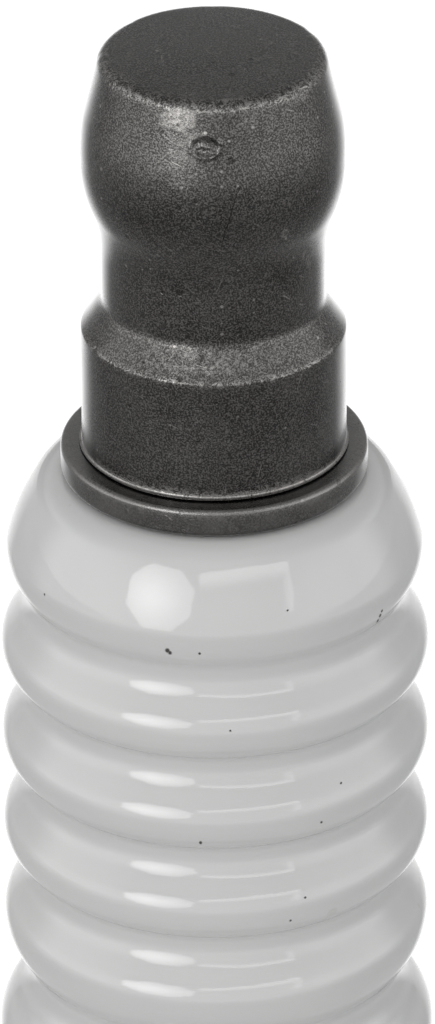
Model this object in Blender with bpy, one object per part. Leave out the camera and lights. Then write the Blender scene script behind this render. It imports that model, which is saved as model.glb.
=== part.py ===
"""A motorcycle spark plug as its separate pieces, upright, terminal upwards.

The origin is on the plug's axis in the plane of the gasket's underside, which is the plane of
the cylinder head's spot face. +Z runs along the axis towards the terminal. Dimensions below are
in millimetres; the mesh builders turn them into metres.
"""
import math

import bmesh
import bpy
from mathutils import Matrix

MM = 0.001
MERGE_DISTANCE = 1e-7
AXIS_UP = (0.0, 0.0, 1.0)

# Turning and fits
TURNED_SEGMENTS = 32
SLIM_SEGMENTS = 20
FIT_GAP = 0.05
CUTTER_OVERRUN = 2.0

# Screw threads: the crest's flat as a part of the pitch, and the ends' chamfer below the root
THREAD_FLAT_SHARE = 0.18
THREAD_END_DROP = 0.05

# Overall heights along the axis
TERMINAL_TOP_Z = 53.0
SHELL_SEAT_Z = 2.0
REACH = 19.0
SHELL_END_Z = SHELL_SEAT_Z - REACH
NOSE_END_Z = SHELL_END_Z - 1.5
ELECTRODE_TIP_Z = NOSE_END_Z - 1.2
SPARK_GAP = 0.9

# Terminal nut, solid form with an M4 hole in its underside
NUT_TOP_FLAT_R = 2.62
NUT_TOP_EDGE_R = 2.74
NUT_TOP_EDGE_Z = 52.85
NUT_FLANK_SLOPE = 13.6
NUT_FLANK_ROUND = 4.25
NUT_HEAD_R = 3.18
NUT_HEAD_HIGH_Z = 50.5
NUT_HEAD_LOW_Z = 50.3
NUT_NECK_R = 2.69
NUT_NECK_TOP_Z = 47.9
NUT_NECK_FOOT_Z = 46.5
NUT_BARREL_R = 3.2
NUT_BARREL_TOP_Z = 45.79
NUT_BOTTOM_Z = 42.68
NUT_BOTTOM_CHAMFER = 0.12
NUT_HOLE_R = 2.1
NUT_HOLE_TOP_Z = 51.0
NUT_DRILL_POINT = 0.5
NUT_HEAD_LOW_SHARE = 0.45

# Terminal stud: M4 post, collar, plain shank and grooved tip in the glass
POST_R = 2.0
POST_CORE_R = 1.62
POST_PITCH = 0.7
POST_TOP_Z = 50.6
POST_STEPS_PER_TURN = 10
COLLAR_R = 3.72
COLLAR_TOP_Z = 42.63
COLLAR_BOTTOM_Z = 41.88
COLLAR_TOP_ROUND = 0.1
COLLAR_BOTTOM_ROUND = 0.2
SHANK_R = 1.95
SHANK_BOTTOM_Z = 22.1
SHANK_TAPER = 0.3
TIP_R = 1.72
TIP_GROOVE_R = 1.5
TIP_CHAMFER = 0.3
TIP_GROOVE_PITCH = 0.9
TIP_LAND = 0.3
TIP_GROOVE_SIDE = 0.2
TIP_BOTTOM_Z = 17.85
POST_OVERLAP = 0.2
POST_CORE_DEPTH = 1.0

# Insulator, outside
DOME_TOP_Z = COLLAR_BOTTOM_Z - FIT_GAP
DOME_TOP_ROUND = 0.72
DOME_TOP_ROUND_R = 3.76
DOME_SLOPE = 23.4
DOME_R = 5.05
DOME_Z = 39.8
DOME_SIDE_ROUND = 0.88
RIB_COUNT = 4
RIB_R = 5.2
RIB_PITCH = 2.5
FIRST_RIB_Z = 37.2
RIB_VALLEY_R = 4.7
RIB_VALLEY_RISE = 1.4
RIB_CREST_SHARE = 0.68
LAST_VALLEY_Z = 28.15
LAST_VALLEY_SHARE = 0.4
BODY_R = 5.35
BODY_TOP_Z = 26.35
SHOULDER_TOP_Z = 11.6
SHOULDER_CONE = 0.9
SHOULDER_R = 6.3
SHOULDER_BOTTOM_Z = 6.0
LEG_R = 4.0
LEG_TOP_Z = 4.3
LEG_BOTTOM_Z = -3.0
NOSE_TOP_R = 2.95
NOSE_TOP_Z = -4.1
NOSE_TIP_R = 2.15
NOSE_TIP_ROUND = 0.35

# Insulator, inside
UPPER_BORE_R = 2.2
UPPER_BORE_BOTTOM_Z = 1.2
LOWER_BORE_R = 1.33
LOWER_BORE_TOP_Z = 0.5

# Centre electrode and what is packed above it
ELECTRODE_R = 1.25
ELECTRODE_HEAD_R = 2.1
ELECTRODE_HEAD_TOP_Z = 3.0
ELECTRODE_CONE_TOP_Z = 1.3
ELECTRODE_CONE_BOTTOM_Z = 0.6
CORE_R = 0.62
CORE_BOTTOM_Z = -16.5
ELECTRODE_TIP_EDGE = 0.08
FILLING_R = 2.14
FILLING_EDGE = 0.15
LOWER_SEAL_TOP_Z = 7.0
RESISTOR_TOP_Z = 16.0
UPPER_SEAL_TOP_Z = 21.5

# Shell
SEAT_COLLAR_R = 8.5
SEAT_COLLAR_TOP_Z = 5.6
SEAT_COLLAR_EDGE = 0.2
GROOVE_R = 7.3
HEX_BOTTOM_Z = 6.8
HEX_TOP_Z = 14.6
HEX_ACROSS_FLATS = 18.0
HEX_CHAMFER_R = 8.9
HEX_CHAMFER_SLOPE = 30.0
BAR_CORNER_R = 0.5 * HEX_ACROSS_FLATS / math.cos(math.radians(30.0))
UPPER_SHELL_R = 8.2
CRIMP_BEND_Z = 16.6
CRIMP_TOP_Z = 17.8
CRIMP_LIP_R = 5.6
CRIMP_LIP_DROP = 0.1
CRIMP_LIP_SLOPE = 0.4
CRIMP_WALL = 0.15
SHELL_CHAMBER_R = 6.5
SHELL_CHAMBER_BOTTOM_Z = 5.9
SHELL_BORE_R = 4.15
SHELL_BORE_TOP_Z = 4.0
LEDGE_TOP_Z = -3.3
LEDGE_R = 3.25
LEDGE_BOTTOM_Z = -6.5
FIRING_BORE_R = 3.9
FIRING_BORE_TOP_Z = -7.3
LEDGE_CONE = 1.0
UNDERCUT_R = 5.0
NECK_DEPTH = 2.0

# Shell thread, M12 x 1.25
THREAD_R = 5.98
THREAD_ROOT_R = 5.23
THREAD_PITCH = 1.25
THREAD_TOP_Z = -0.9
THREAD_STEPS_PER_TURN = 24

# Packings between insulator and shell, and the folded seat gasket
PACKING_WIRE_R = 0.45
LOWER_PACKING_Z = 13.3
UPPER_PACKING_Z = 16.15
SEAT_PACKING_THICKNESS = 0.2
SEAT_PACKING_GAP = 0.12
SEAT_PACKING_MARGIN = 0.15
GASKET_OUTER_R = 8.2
GASKET_INNER_R = 5.5
GASKET_SHEET = 0.35
GASKET_TOP_Z = SHELL_SEAT_Z - FIT_GAP

# Ground electrode, a bent strap welded to the shell's end face
STRAP_WIDTH = 2.6
STRAP_THICKNESS = 1.3
STRAP_EDGE = 0.2
STRAP_CENTRE_X = 4.58
STRAP_BEND_R = 1.9
STRAP_REACH_X = -1.3
STRAP_BEND_STEPS = 6


def clear_scene():
    """Remove whatever the open file holds, without closing it."""
    for thing in list(bpy.data.objects):
        bpy.data.objects.remove(thing, do_unlink=True)


def finish_material(name, colour, roughness, metallic):
    """One Principled material for one piece."""
    material = bpy.data.materials.new(name)
    material.use_nodes = True
    shader = material.node_tree.nodes["Principled BSDF"]
    shader.inputs["Base Color"].default_value = (*colour, 1.0)
    shader.inputs["Roughness"].default_value = roughness
    shader.inputs["Metallic"].default_value = metallic
    return material


def place_piece(name, mesh, material, origin=(0.0, 0.0, 0.0)):
    """Link a mesh as a named object whose origin is at the given point, in millimetres."""
    mesh.transform(Matrix.Translation([-MM * value for value in origin]))
    mesh.shade_smooth()
    mesh.set_sharp_from_angle(angle=math.radians(35.0))
    piece = bpy.data.objects.new(name, mesh)
    piece.location = [MM * value for value in origin]
    piece.data.materials.append(material)
    bpy.context.scene.collection.objects.link(piece)
    return piece


def arc(centre, radius, start, end, steps):
    """Points on a circle in the radius-height plane, angles in degrees from outwards to up."""
    points = []
    for step in range(steps + 1):
        angle = math.radians(start + (end - start) * step / steps)
        points.append((centre[0] + radius * math.cos(angle), centre[1] + radius * math.sin(angle)))
    return points


def ogee(start, end, start_share, steps):
    """Two arcs that meet in one slope and leave both end points vertically.

    start_share is the part of the two radii's sum that the arc at the start takes.
    """
    run = end[1] - start[1]
    rise = end[0] - start[0]
    radii = (run * run + rise * rise) / (2.0 * abs(rise))
    turn = 2.0 * math.atan2(abs(rise), abs(run))
    start_radius = radii * start_share
    end_radius = radii - start_radius
    inward = math.copysign(1.0, rise)
    along = math.copysign(1.0, run)
    points = []
    for step in range(steps):
        angle = turn * step / steps
        radius = start[0] + inward * start_radius * (1.0 - math.cos(angle))
        points.append((radius, start[1] + along * start_radius * math.sin(angle)))
    for step in range(steps, -1, -1):
        angle = turn * step / steps
        radius = end[0] - inward * end_radius * (1.0 - math.cos(angle))
        points.append((radius, end[1] - along * end_radius * math.sin(angle)))
    return points


def turned_mesh(name, outline, segments=TURNED_SEGMENTS):
    """Spin an outline of (radius, height) points once round the axis.

    An outline that starts and ends on the axis makes a solid bar; any other is closed into a
    ring, so it makes a sleeve.
    """
    bm = bmesh.new()
    points = [bm.verts.new((radius * MM, 0.0, height * MM)) for radius, height in outline]
    edges = [bm.edges.new(pair) for pair in zip(points, points[1:])]
    if outline[0][0] > 0.0 or outline[-1][0] > 0.0:
        edges.append(bm.edges.new((points[-1], points[0])))
    bmesh.ops.spin(
        bm,
        geom=points + edges,
        cent=(0.0, 0.0, 0.0),
        axis=AXIS_UP,
        angle=2.0 * math.pi,
        steps=segments,
        use_merge=True,
    )
    bmesh.ops.remove_doubles(bm, verts=bm.verts, dist=MERGE_DISTANCE)
    bmesh.ops.recalc_face_normals(bm, faces=bm.faces)
    mesh = bpy.data.meshes.new(name)
    bm.to_mesh(mesh)
    bm.free()
    return mesh


def threaded_rod_mesh(name, root_r, crest_r, pitch, bottom, top, steps_per_turn):
    """A solid rod with a 60 degree thread and chamfered ends."""
    flat = pitch * THREAD_FLAT_SHARE
    flank = 0.5 * pitch - flat
    bm = bmesh.new()
    points = []
    height = bottom - 2.0 * pitch
    while height < top + pitch:
        for radius, rise in ((root_r, flat), (root_r, flank), (crest_r, flat), (crest_r, flank)):
            points.append(bm.verts.new((radius * MM, 0.0, height * MM)))
            height += rise
    edges = [bm.edges.new(pair) for pair in zip(points, points[1:])]
    bmesh.ops.spin(
        bm,
        geom=points + edges,
        cent=(0.0, 0.0, 0.0),
        axis=AXIS_UP,
        dvec=(0.0, 0.0, pitch * MM / steps_per_turn),
        angle=2.0 * math.pi,
        steps=steps_per_turn,
    )
    bmesh.ops.remove_doubles(bm, verts=bm.verts, dist=MERGE_DISTANCE)
    for cut_height, outwards in ((top, 1.0), (bottom, -1.0)):
        bmesh.ops.bisect_plane(
            bm,
            geom=bm.verts[:] + bm.edges[:] + bm.faces[:],
            dist=MERGE_DISTANCE,
            plane_co=(0.0, 0.0, cut_height * MM),
            plane_no=(0.0, 0.0, outwards),
            clear_outer=True,
        )
    for vert in bm.verts:
        to_end = min(top * MM - vert.co.z, vert.co.z - bottom * MM)
        limit = (root_r - THREAD_END_DROP) * MM + to_end
        radius = math.hypot(vert.co.x, vert.co.y)
        if radius > limit:
            vert.co.x *= limit / radius
            vert.co.y *= limit / radius
    bmesh.ops.remove_doubles(bm, verts=bm.verts, dist=10.0 * MERGE_DISTANCE)
    bmesh.ops.holes_fill(bm, edges=bm.edges)
    bmesh.ops.recalc_face_normals(bm, faces=bm.faces)
    mesh = bpy.data.meshes.new(name)
    bm.to_mesh(mesh)
    bm.free()
    return mesh


def hide_tool(mesh, name):
    """Link a mesh as a tool for a Boolean, left out of the build."""
    tool = bpy.data.objects.new(name, mesh)
    tool.hide_render = True
    tool.display_type = "WIRE"
    bpy.context.scene.collection.objects.link(tool)
    return tool


def combine(piece, tool, operation):
    """Add or cut a tool, with the exact solver."""
    modifier = piece.modifiers.new(tool.name, "BOOLEAN")
    modifier.operation = operation
    modifier.object = tool
    modifier.solver = "EXACT"


def terminal_nut():
    """Steel contact nut that the plug cap clips over; it screws down the stud's post."""
    outline = [(0.0, NUT_HOLE_TOP_Z + NUT_DRILL_POINT), (NUT_HOLE_R, NUT_HOLE_TOP_Z)]
    outline += [(NUT_HOLE_R, NUT_BOTTOM_Z)]
    outline += [(NUT_BARREL_R - NUT_BOTTOM_CHAMFER, NUT_BOTTOM_Z)]
    outline += [(NUT_BARREL_R, NUT_BOTTOM_Z + NUT_BOTTOM_CHAMFER)]
    outline += [(NUT_BARREL_R, NUT_BARREL_TOP_Z), (NUT_NECK_R, NUT_NECK_FOOT_Z)]
    head_foot = (NUT_HEAD_R, NUT_HEAD_LOW_Z)
    outline += ogee((NUT_NECK_R, NUT_NECK_TOP_Z), head_foot, NUT_HEAD_LOW_SHARE, 2)
    flank_centre = (NUT_HEAD_R - NUT_FLANK_ROUND, NUT_HEAD_HIGH_Z)
    outline += arc(flank_centre, NUT_FLANK_ROUND, 0.0, NUT_FLANK_SLOPE, 3)
    outline += [(NUT_TOP_EDGE_R, NUT_TOP_EDGE_Z)]
    outline += [(NUT_TOP_FLAT_R, TERMINAL_TOP_Z), (0.0, TERMINAL_TOP_Z)]
    material = finish_material("terminal_nut", (0.09, 0.085, 0.082), 0.38, 1.0)
    mesh = turned_mesh("terminal_nut", outline)
    return place_piece("terminal_nut", mesh, material, (0.0, 0.0, NUT_BOTTOM_Z))


def terminal_stud():
    """Steel stud fused into the insulator, with an M4 post for the nut."""
    outline = [(0.0, TIP_BOTTOM_Z), (TIP_R - TIP_CHAMFER, TIP_BOTTOM_Z)]
    land_z = TIP_BOTTOM_Z + TIP_CHAMFER
    while land_z < UPPER_SEAL_TOP_Z - TIP_GROOVE_PITCH:
        groove_z = land_z + TIP_LAND + TIP_GROOVE_SIDE
        outline += [(TIP_R, land_z), (TIP_R, land_z + TIP_LAND)]
        outline += [(TIP_GROOVE_R, groove_z), (TIP_GROOVE_R, groove_z + TIP_GROOVE_SIDE)]
        land_z += TIP_GROOVE_PITCH
    outline += [(TIP_R, SHANK_BOTTOM_Z - SHANK_TAPER), (SHANK_R, SHANK_BOTTOM_Z)]
    outline += [(SHANK_R, COLLAR_BOTTOM_Z)]
    low_round = (COLLAR_R - COLLAR_BOTTOM_ROUND, COLLAR_BOTTOM_Z + COLLAR_BOTTOM_ROUND)
    outline += arc(low_round, COLLAR_BOTTOM_ROUND, -90.0, 0.0, 3)
    top_round = (COLLAR_R - COLLAR_TOP_ROUND, COLLAR_TOP_Z - COLLAR_TOP_ROUND)
    outline += arc(top_round, COLLAR_TOP_ROUND, 0.0, 90.0, 2)
    inside_r = POST_CORE_R - POST_OVERLAP
    inside_z = POST_TOP_Z - POST_CORE_DEPTH
    outline += [(inside_r, COLLAR_TOP_Z), (inside_r, inside_z), (0.0, inside_z)]
    material = finish_material("terminal_stud", (0.12, 0.11, 0.1), 0.4, 1.0)
    mesh = turned_mesh("terminal_stud", outline, SLIM_SEGMENTS)
    stud = place_piece("terminal_stud", mesh, material)
    post = threaded_rod_mesh(
        "post_thread",
        POST_CORE_R,
        POST_R,
        POST_PITCH,
        COLLAR_TOP_Z - POST_OVERLAP,
        POST_TOP_Z,
        POST_STEPS_PER_TURN,
    )
    combine(stud, hide_tool(post, "post_thread"), "UNION")
    return stud


def insulator_outside():
    """The insulator's outer outline, from the top of the dome down to the nose."""
    top_centre = (DOME_TOP_ROUND_R, DOME_TOP_Z - DOME_TOP_ROUND)
    outline = arc(top_centre, DOME_TOP_ROUND, 90.0, DOME_SLOPE, 4)
    outline += arc((DOME_R - DOME_SIDE_ROUND, DOME_Z), DOME_SIDE_ROUND, DOME_SLOPE, 0.0, 2)
    crests = [(RIB_R, FIRST_RIB_Z - RIB_PITCH * number) for number in range(RIB_COUNT)]
    above = (DOME_R, DOME_Z)
    for crest in crests:
        valley = (RIB_VALLEY_R, crest[1] + RIB_VALLEY_RISE)
        outline += ogee(above, valley, RIB_CREST_SHARE, 2)[1:]
        outline += ogee(valley, crest, 1.0 - RIB_CREST_SHARE, 2)[1:]
        above = crest
    last_valley = (RIB_VALLEY_R, LAST_VALLEY_Z)
    outline += ogee(above, last_valley, RIB_CREST_SHARE, 2)[1:]
    outline += ogee(last_valley, (BODY_R, BODY_TOP_Z), LAST_VALLEY_SHARE, 3)[1:]
    outline += [(BODY_R, SHOULDER_TOP_Z + SHOULDER_CONE), (SHOULDER_R, SHOULDER_TOP_Z)]
    outline += [(SHOULDER_R, SHOULDER_BOTTOM_Z), (LEG_R, LEG_TOP_Z)]
    outline += [(LEG_R, LEG_BOTTOM_Z), (NOSE_TOP_R, NOSE_TOP_Z)]
    outline += [(NOSE_TIP_R, NOSE_END_Z + NOSE_TIP_ROUND)]
    outline += [(NOSE_TIP_R - NOSE_TIP_ROUND, NOSE_END_Z)]
    return outline


def insulator():
    """Glazed alumina ceramic body, one sleeve from the terminal to the firing end."""
    outline = insulator_outside()
    outline += [(LOWER_BORE_R, NOSE_END_Z), (LOWER_BORE_R, LOWER_BORE_TOP_Z)]
    outline += [(UPPER_BORE_R, UPPER_BORE_BOTTOM_Z), (UPPER_BORE_R, DOME_TOP_Z)]
    material = finish_material("insulator", (0.82, 0.82, 0.81), 0.12, 0.0)
    return place_piece("insulator", turned_mesh("insulator", outline), material)


def filling(name, bottom, top, colour, roughness):
    """A plain plug of fused material in the insulator's bore."""
    edge = FILLING_EDGE
    outline = [(0.0, bottom), (FILLING_R - edge, bottom), (FILLING_R, bottom + edge)]
    outline += [(FILLING_R, top - edge), (FILLING_R - edge, top), (0.0, top)]
    material = finish_material(name, colour, roughness, 0.0)
    return place_piece(name, turned_mesh(name, outline, SLIM_SEGMENTS), material)


def upper_glass_seal():
    """Conductive glass fused round the stud's grooved tip."""
    cup_bottom = TIP_BOTTOM_Z - FIT_GAP
    cup_r = TIP_R + FIT_GAP
    outline = [(0.0, RESISTOR_TOP_Z + FIT_GAP), (FILLING_R, RESISTOR_TOP_Z + FIT_GAP)]
    outline += [(FILLING_R, UPPER_SEAL_TOP_Z), (cup_r, UPPER_SEAL_TOP_Z)]
    outline += [(cup_r, cup_bottom), (0.0, cup_bottom)]
    material = finish_material("upper_glass_seal", (0.16, 0.12, 0.1), 0.3, 0.2)
    mesh = turned_mesh("upper_glass_seal", outline, SLIM_SEGMENTS)
    return place_piece("upper_glass_seal", mesh, material)


def center_electrode():
    """Nickel alloy electrode with a conical head that rests in the insulator."""
    edge = ELECTRODE_TIP_EDGE
    outline = [(0.0, ELECTRODE_TIP_Z), (ELECTRODE_R - edge, ELECTRODE_TIP_Z)]
    outline += [(ELECTRODE_R, ELECTRODE_TIP_Z + edge), (ELECTRODE_R, ELECTRODE_CONE_BOTTOM_Z)]
    outline += [(ELECTRODE_HEAD_R, ELECTRODE_CONE_TOP_Z), (ELECTRODE_HEAD_R, ELECTRODE_HEAD_TOP_Z)]
    hole_r = CORE_R + FIT_GAP
    hole_z = CORE_BOTTOM_Z - FIT_GAP
    outline += [(hole_r, ELECTRODE_HEAD_TOP_Z), (hole_r, hole_z), (0.0, hole_z)]
    material = finish_material("center_electrode", (0.6, 0.58, 0.55), 0.35, 1.0)
    mesh = turned_mesh("center_electrode", outline, SLIM_SEGMENTS)
    return place_piece("center_electrode", mesh, material)


def center_electrode_core():
    """Copper core, pressed into the electrode from its head."""
    outline = [(0.0, CORE_BOTTOM_Z), (CORE_R, CORE_BOTTOM_Z)]
    outline += [(CORE_R, ELECTRODE_HEAD_TOP_Z), (0.0, ELECTRODE_HEAD_TOP_Z)]
    material = finish_material("center_electrode_core", (0.72, 0.36, 0.2), 0.35, 1.0)
    mesh = turned_mesh("center_electrode_core", outline, SLIM_SEGMENTS)
    return place_piece("center_electrode_core", mesh, material)


def hexagonal_bar():
    """The bar that the shell is turned from, with a flat facing -Y, as a tool."""
    bm = bmesh.new()
    length = CRIMP_TOP_Z - SHELL_END_Z + 2.0 * CUTTER_OVERRUN
    middle = Matrix.Translation((0.0, 0.0, 0.5 * (CRIMP_TOP_Z + SHELL_END_Z) * MM))
    bmesh.ops.create_cone(
        bm,
        cap_ends=True,
        segments=6,
        radius1=BAR_CORNER_R * MM,
        radius2=BAR_CORNER_R * MM,
        depth=length * MM,
        matrix=middle @ Matrix.Rotation(math.radians(30.0), 4, "Z"),
    )
    mesh = bpy.data.meshes.new("hexagonal_bar")
    bm.to_mesh(mesh)
    bm.free()
    return mesh


def shell_blank():
    """The shell's turned outside, solid to the axis; the hexagon's zone is still round."""
    bar_r = BAR_CORNER_R + 2.0 * FIT_GAP
    chamfer = (bar_r - HEX_CHAMFER_R) * math.tan(math.radians(HEX_CHAMFER_SLOPE))
    edge = SEAT_COLLAR_EDGE
    neck_z = THREAD_TOP_Z - NECK_DEPTH
    outline = [(0.0, neck_z), (UNDERCUT_R, neck_z), (UNDERCUT_R, SHELL_SEAT_Z)]
    outline += [(SEAT_COLLAR_R - edge, SHELL_SEAT_Z), (SEAT_COLLAR_R, SHELL_SEAT_Z + edge)]
    outline += [(SEAT_COLLAR_R, SEAT_COLLAR_TOP_Z - edge), (SEAT_COLLAR_R - edge, SEAT_COLLAR_TOP_Z)]
    outline += [(GROOVE_R, SEAT_COLLAR_TOP_Z + edge), (GROOVE_R, HEX_BOTTOM_Z)]
    outline += [(HEX_CHAMFER_R, HEX_BOTTOM_Z), (bar_r, HEX_BOTTOM_Z + chamfer)]
    outline += [(bar_r, HEX_TOP_Z - chamfer), (HEX_CHAMFER_R, HEX_TOP_Z)]
    bend = CRIMP_TOP_Z - CRIMP_BEND_Z
    outline += [(UPPER_SHELL_R, HEX_TOP_Z)]
    outline += arc((UPPER_SHELL_R - bend, CRIMP_BEND_Z), bend, 0.0, 90.0, 4)
    lip_z = CRIMP_TOP_Z - CRIMP_LIP_DROP
    outline += [(CRIMP_LIP_R + CRIMP_LIP_SLOPE, lip_z), (0.0, lip_z)]
    return turned_mesh("shell", outline)


def shell_bore():
    """The shell's stepped bore, as the tool that cuts it."""
    top = CRIMP_TOP_Z + CUTTER_OVERRUN
    bottom = SHELL_END_Z - CUTTER_OVERRUN
    lip_bottom = CRIMP_BEND_Z + CRIMP_WALL
    outline = [(0.0, top), (CRIMP_LIP_R, top), (CRIMP_LIP_R, lip_bottom + CRIMP_LIP_SLOPE)]
    outline += [(SHELL_CHAMBER_R, lip_bottom), (SHELL_CHAMBER_R, SHELL_CHAMBER_BOTTOM_Z)]
    outline += [(SHELL_BORE_R, SHELL_BORE_TOP_Z), (SHELL_BORE_R, LEDGE_TOP_Z)]
    outline += [(LEDGE_R, LEDGE_TOP_Z - LEDGE_CONE), (LEDGE_R, LEDGE_BOTTOM_Z)]
    outline += [(FIRING_BORE_R, FIRING_BORE_TOP_Z), (FIRING_BORE_R, bottom), (0.0, bottom)]
    return turned_mesh("shell_bore", outline[::-1])


def shell():
    """Plated steel shell: crimp, hexagon, seat and M12 thread in one piece."""
    material = finish_material("shell", (0.62, 0.61, 0.59), 0.3, 1.0)
    piece = place_piece("shell", shell_blank(), material)
    thread = threaded_rod_mesh(
        "shell_thread",
        THREAD_ROOT_R,
        THREAD_R,
        THREAD_PITCH,
        SHELL_END_Z,
        THREAD_TOP_Z,
        THREAD_STEPS_PER_TURN,
    )
    combine(piece, hide_tool(hexagonal_bar(), "hexagonal_bar"), "INTERSECT")
    combine(piece, hide_tool(thread, "shell_thread"), "UNION")
    combine(piece, hide_tool(shell_bore(), "shell_bore"), "DIFFERENCE")
    return piece


def packing_wire(name, height):
    """A ring of soft wire, closed over the insulator's shoulder."""
    middle_r = 0.5 * (BODY_R + SHELL_CHAMBER_R)
    outline = arc((middle_r, height), PACKING_WIRE_R, 0.0, 360.0, 8)[:-1]
    material = finish_material(name, (0.45, 0.44, 0.42), 0.45, 1.0)
    return place_piece(name, turned_mesh(name, outline), material)


def talc_filling():
    """Pressed talc powder between the two packing wires."""
    inner = BODY_R + 2.0 * FIT_GAP
    outer = SHELL_CHAMBER_R - 2.0 * FIT_GAP
    bottom = LOWER_PACKING_Z + PACKING_WIRE_R + FIT_GAP
    top = UPPER_PACKING_Z - PACKING_WIRE_R - FIT_GAP
    outline = [(inner, bottom), (outer, bottom), (outer, top), (inner, top)]
    material = finish_material("talc_filling", (0.85, 0.84, 0.8), 0.9, 0.0)
    return place_piece("talc_filling", turned_mesh("talc_filling", outline), material)


def seat_packing():
    """Thin steel washer between the insulator's lower cone and the shell's ledge."""
    slope = (LEG_R - NOSE_TOP_R) / (LEG_BOTTOM_Z - NOSE_TOP_Z)
    inner_r = LEDGE_R + SEAT_PACKING_MARGIN
    outer_r = LEG_R - FIT_GAP
    inner_z = LEG_BOTTOM_Z - (LEG_R - inner_r) / slope - SEAT_PACKING_GAP
    outer_z = LEG_BOTTOM_Z - (LEG_R - outer_r) / slope - SEAT_PACKING_GAP
    outline = [(inner_r, inner_z), (inner_r, inner_z - SEAT_PACKING_THICKNESS)]
    outline += [(outer_r, outer_z - SEAT_PACKING_THICKNESS), (outer_r, outer_z)]
    material = finish_material("seat_packing", (0.5, 0.48, 0.45), 0.4, 1.0)
    return place_piece("seat_packing", turned_mesh("seat_packing", outline), material)


def gasket():
    """Folded sheet-steel crush gasket, held loosely on the shell's undercut."""
    inner = GASKET_INNER_R
    outer = GASKET_OUTER_R
    sheet = GASKET_SHEET
    top = GASKET_TOP_Z
    round_r = 0.5 * top
    outline = [(inner, 0.0)]
    outline += arc((outer - round_r, round_r), round_r, -90.0, 90.0, 6)
    outline += [(inner, top), (inner, top - sheet)]
    outline += arc((outer - round_r, round_r), round_r - sheet, 90.0, -90.0, 4)
    outline += [(inner, sheet)]
    material = finish_material("gasket", (0.55, 0.54, 0.52), 0.35, 1.0)
    return place_piece("gasket", turned_mesh("gasket", outline), material, (0.0, 0.0, SHELL_SEAT_Z))


def push_face(bm, faces, offset):
    """Extrude flat faces along an offset, and return the faces at the far end."""
    swept = bmesh.ops.extrude_face_region(bm, geom=faces)["geom"]
    moved = [item for item in swept if isinstance(item, bmesh.types.BMVert)]
    bmesh.ops.translate(bm, verts=moved, vec=offset)
    return [item for item in swept if isinstance(item, bmesh.types.BMFace)]


def ground_electrode():
    """Nickel alloy strap, welded to the shell's end face and bent over under the tip."""
    top = SHELL_END_Z - FIT_GAP
    pad_top = ELECTRODE_TIP_Z - SPARK_GAP
    bend_z = pad_top - 0.5 * STRAP_THICKNESS + STRAP_BEND_R
    bend_x = STRAP_CENTRE_X - STRAP_BEND_R
    bm = bmesh.new()
    section = bmesh.ops.create_grid(bm, x_segments=1, y_segments=1, size=0.5)["verts"]
    bmesh.ops.scale(bm, verts=section, vec=(STRAP_THICKNESS * MM, STRAP_WIDTH * MM, 1.0))
    bmesh.ops.translate(bm, verts=section, vec=(STRAP_CENTRE_X * MM, 0.0, top * MM))
    bmesh.ops.bevel(
        bm,
        geom=section,
        offset=STRAP_EDGE * MM,
        offset_type="OFFSET",
        affect="VERTICES",
        segments=1,
        profile=0.5,
        material=-1,
    )
    end_face = push_face(bm, bm.faces[:], (0.0, 0.0, (bend_z - top) * MM))
    bent = bmesh.ops.spin(
        bm,
        geom=end_face,
        cent=(bend_x * MM, 0.0, bend_z * MM),
        axis=(0.0, 1.0, 0.0),
        angle=0.5 * math.pi,
        steps=STRAP_BEND_STEPS,
    )["geom_last"]
    end_face = [item for item in bent if isinstance(item, bmesh.types.BMFace)]
    push_face(bm, end_face, ((STRAP_REACH_X - bend_x) * MM, 0.0, 0.0))
    bmesh.ops.remove_doubles(bm, verts=bm.verts, dist=MERGE_DISTANCE)
    inside = [face for face in bm.faces if all(len(edge.link_faces) > 2 for edge in face.edges)]
    bmesh.ops.delete(bm, geom=inside, context="FACES")
    bmesh.ops.recalc_face_normals(bm, faces=bm.faces)
    mesh = bpy.data.meshes.new("ground_electrode")
    bm.to_mesh(mesh)
    bm.free()
    material = finish_material("ground_electrode", (0.6, 0.58, 0.55), 0.38, 1.0)
    return place_piece("ground_electrode", mesh, material, (STRAP_CENTRE_X, 0.0, SHELL_END_Z))


def build():
    """Make every piece of the plug."""
    clear_scene()
    terminal_nut()
    terminal_stud()
    insulator()
    upper_glass_seal()
    filling("resistor", LOWER_SEAL_TOP_Z + FIT_GAP, RESISTOR_TOP_Z, (0.12, 0.12, 0.12), 0.8)
    seal_bottom = ELECTRODE_HEAD_TOP_Z + FIT_GAP
    filling("lower_glass_seal", seal_bottom, LOWER_SEAL_TOP_Z, (0.16, 0.12, 0.1), 0.3)
    center_electrode()
    center_electrode_core()
    shell()
    packing_wire("upper_packing_ring", UPPER_PACKING_Z)
    packing_wire("lower_packing_ring", LOWER_PACKING_Z)
    talc_filling()
    seat_packing()
    gasket()
    ground_electrode()


build()
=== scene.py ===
import random
from math import atan2, ceil, copysign, cos, dist, exp, hypot, pi, radians, sin, sqrt, tan

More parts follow.
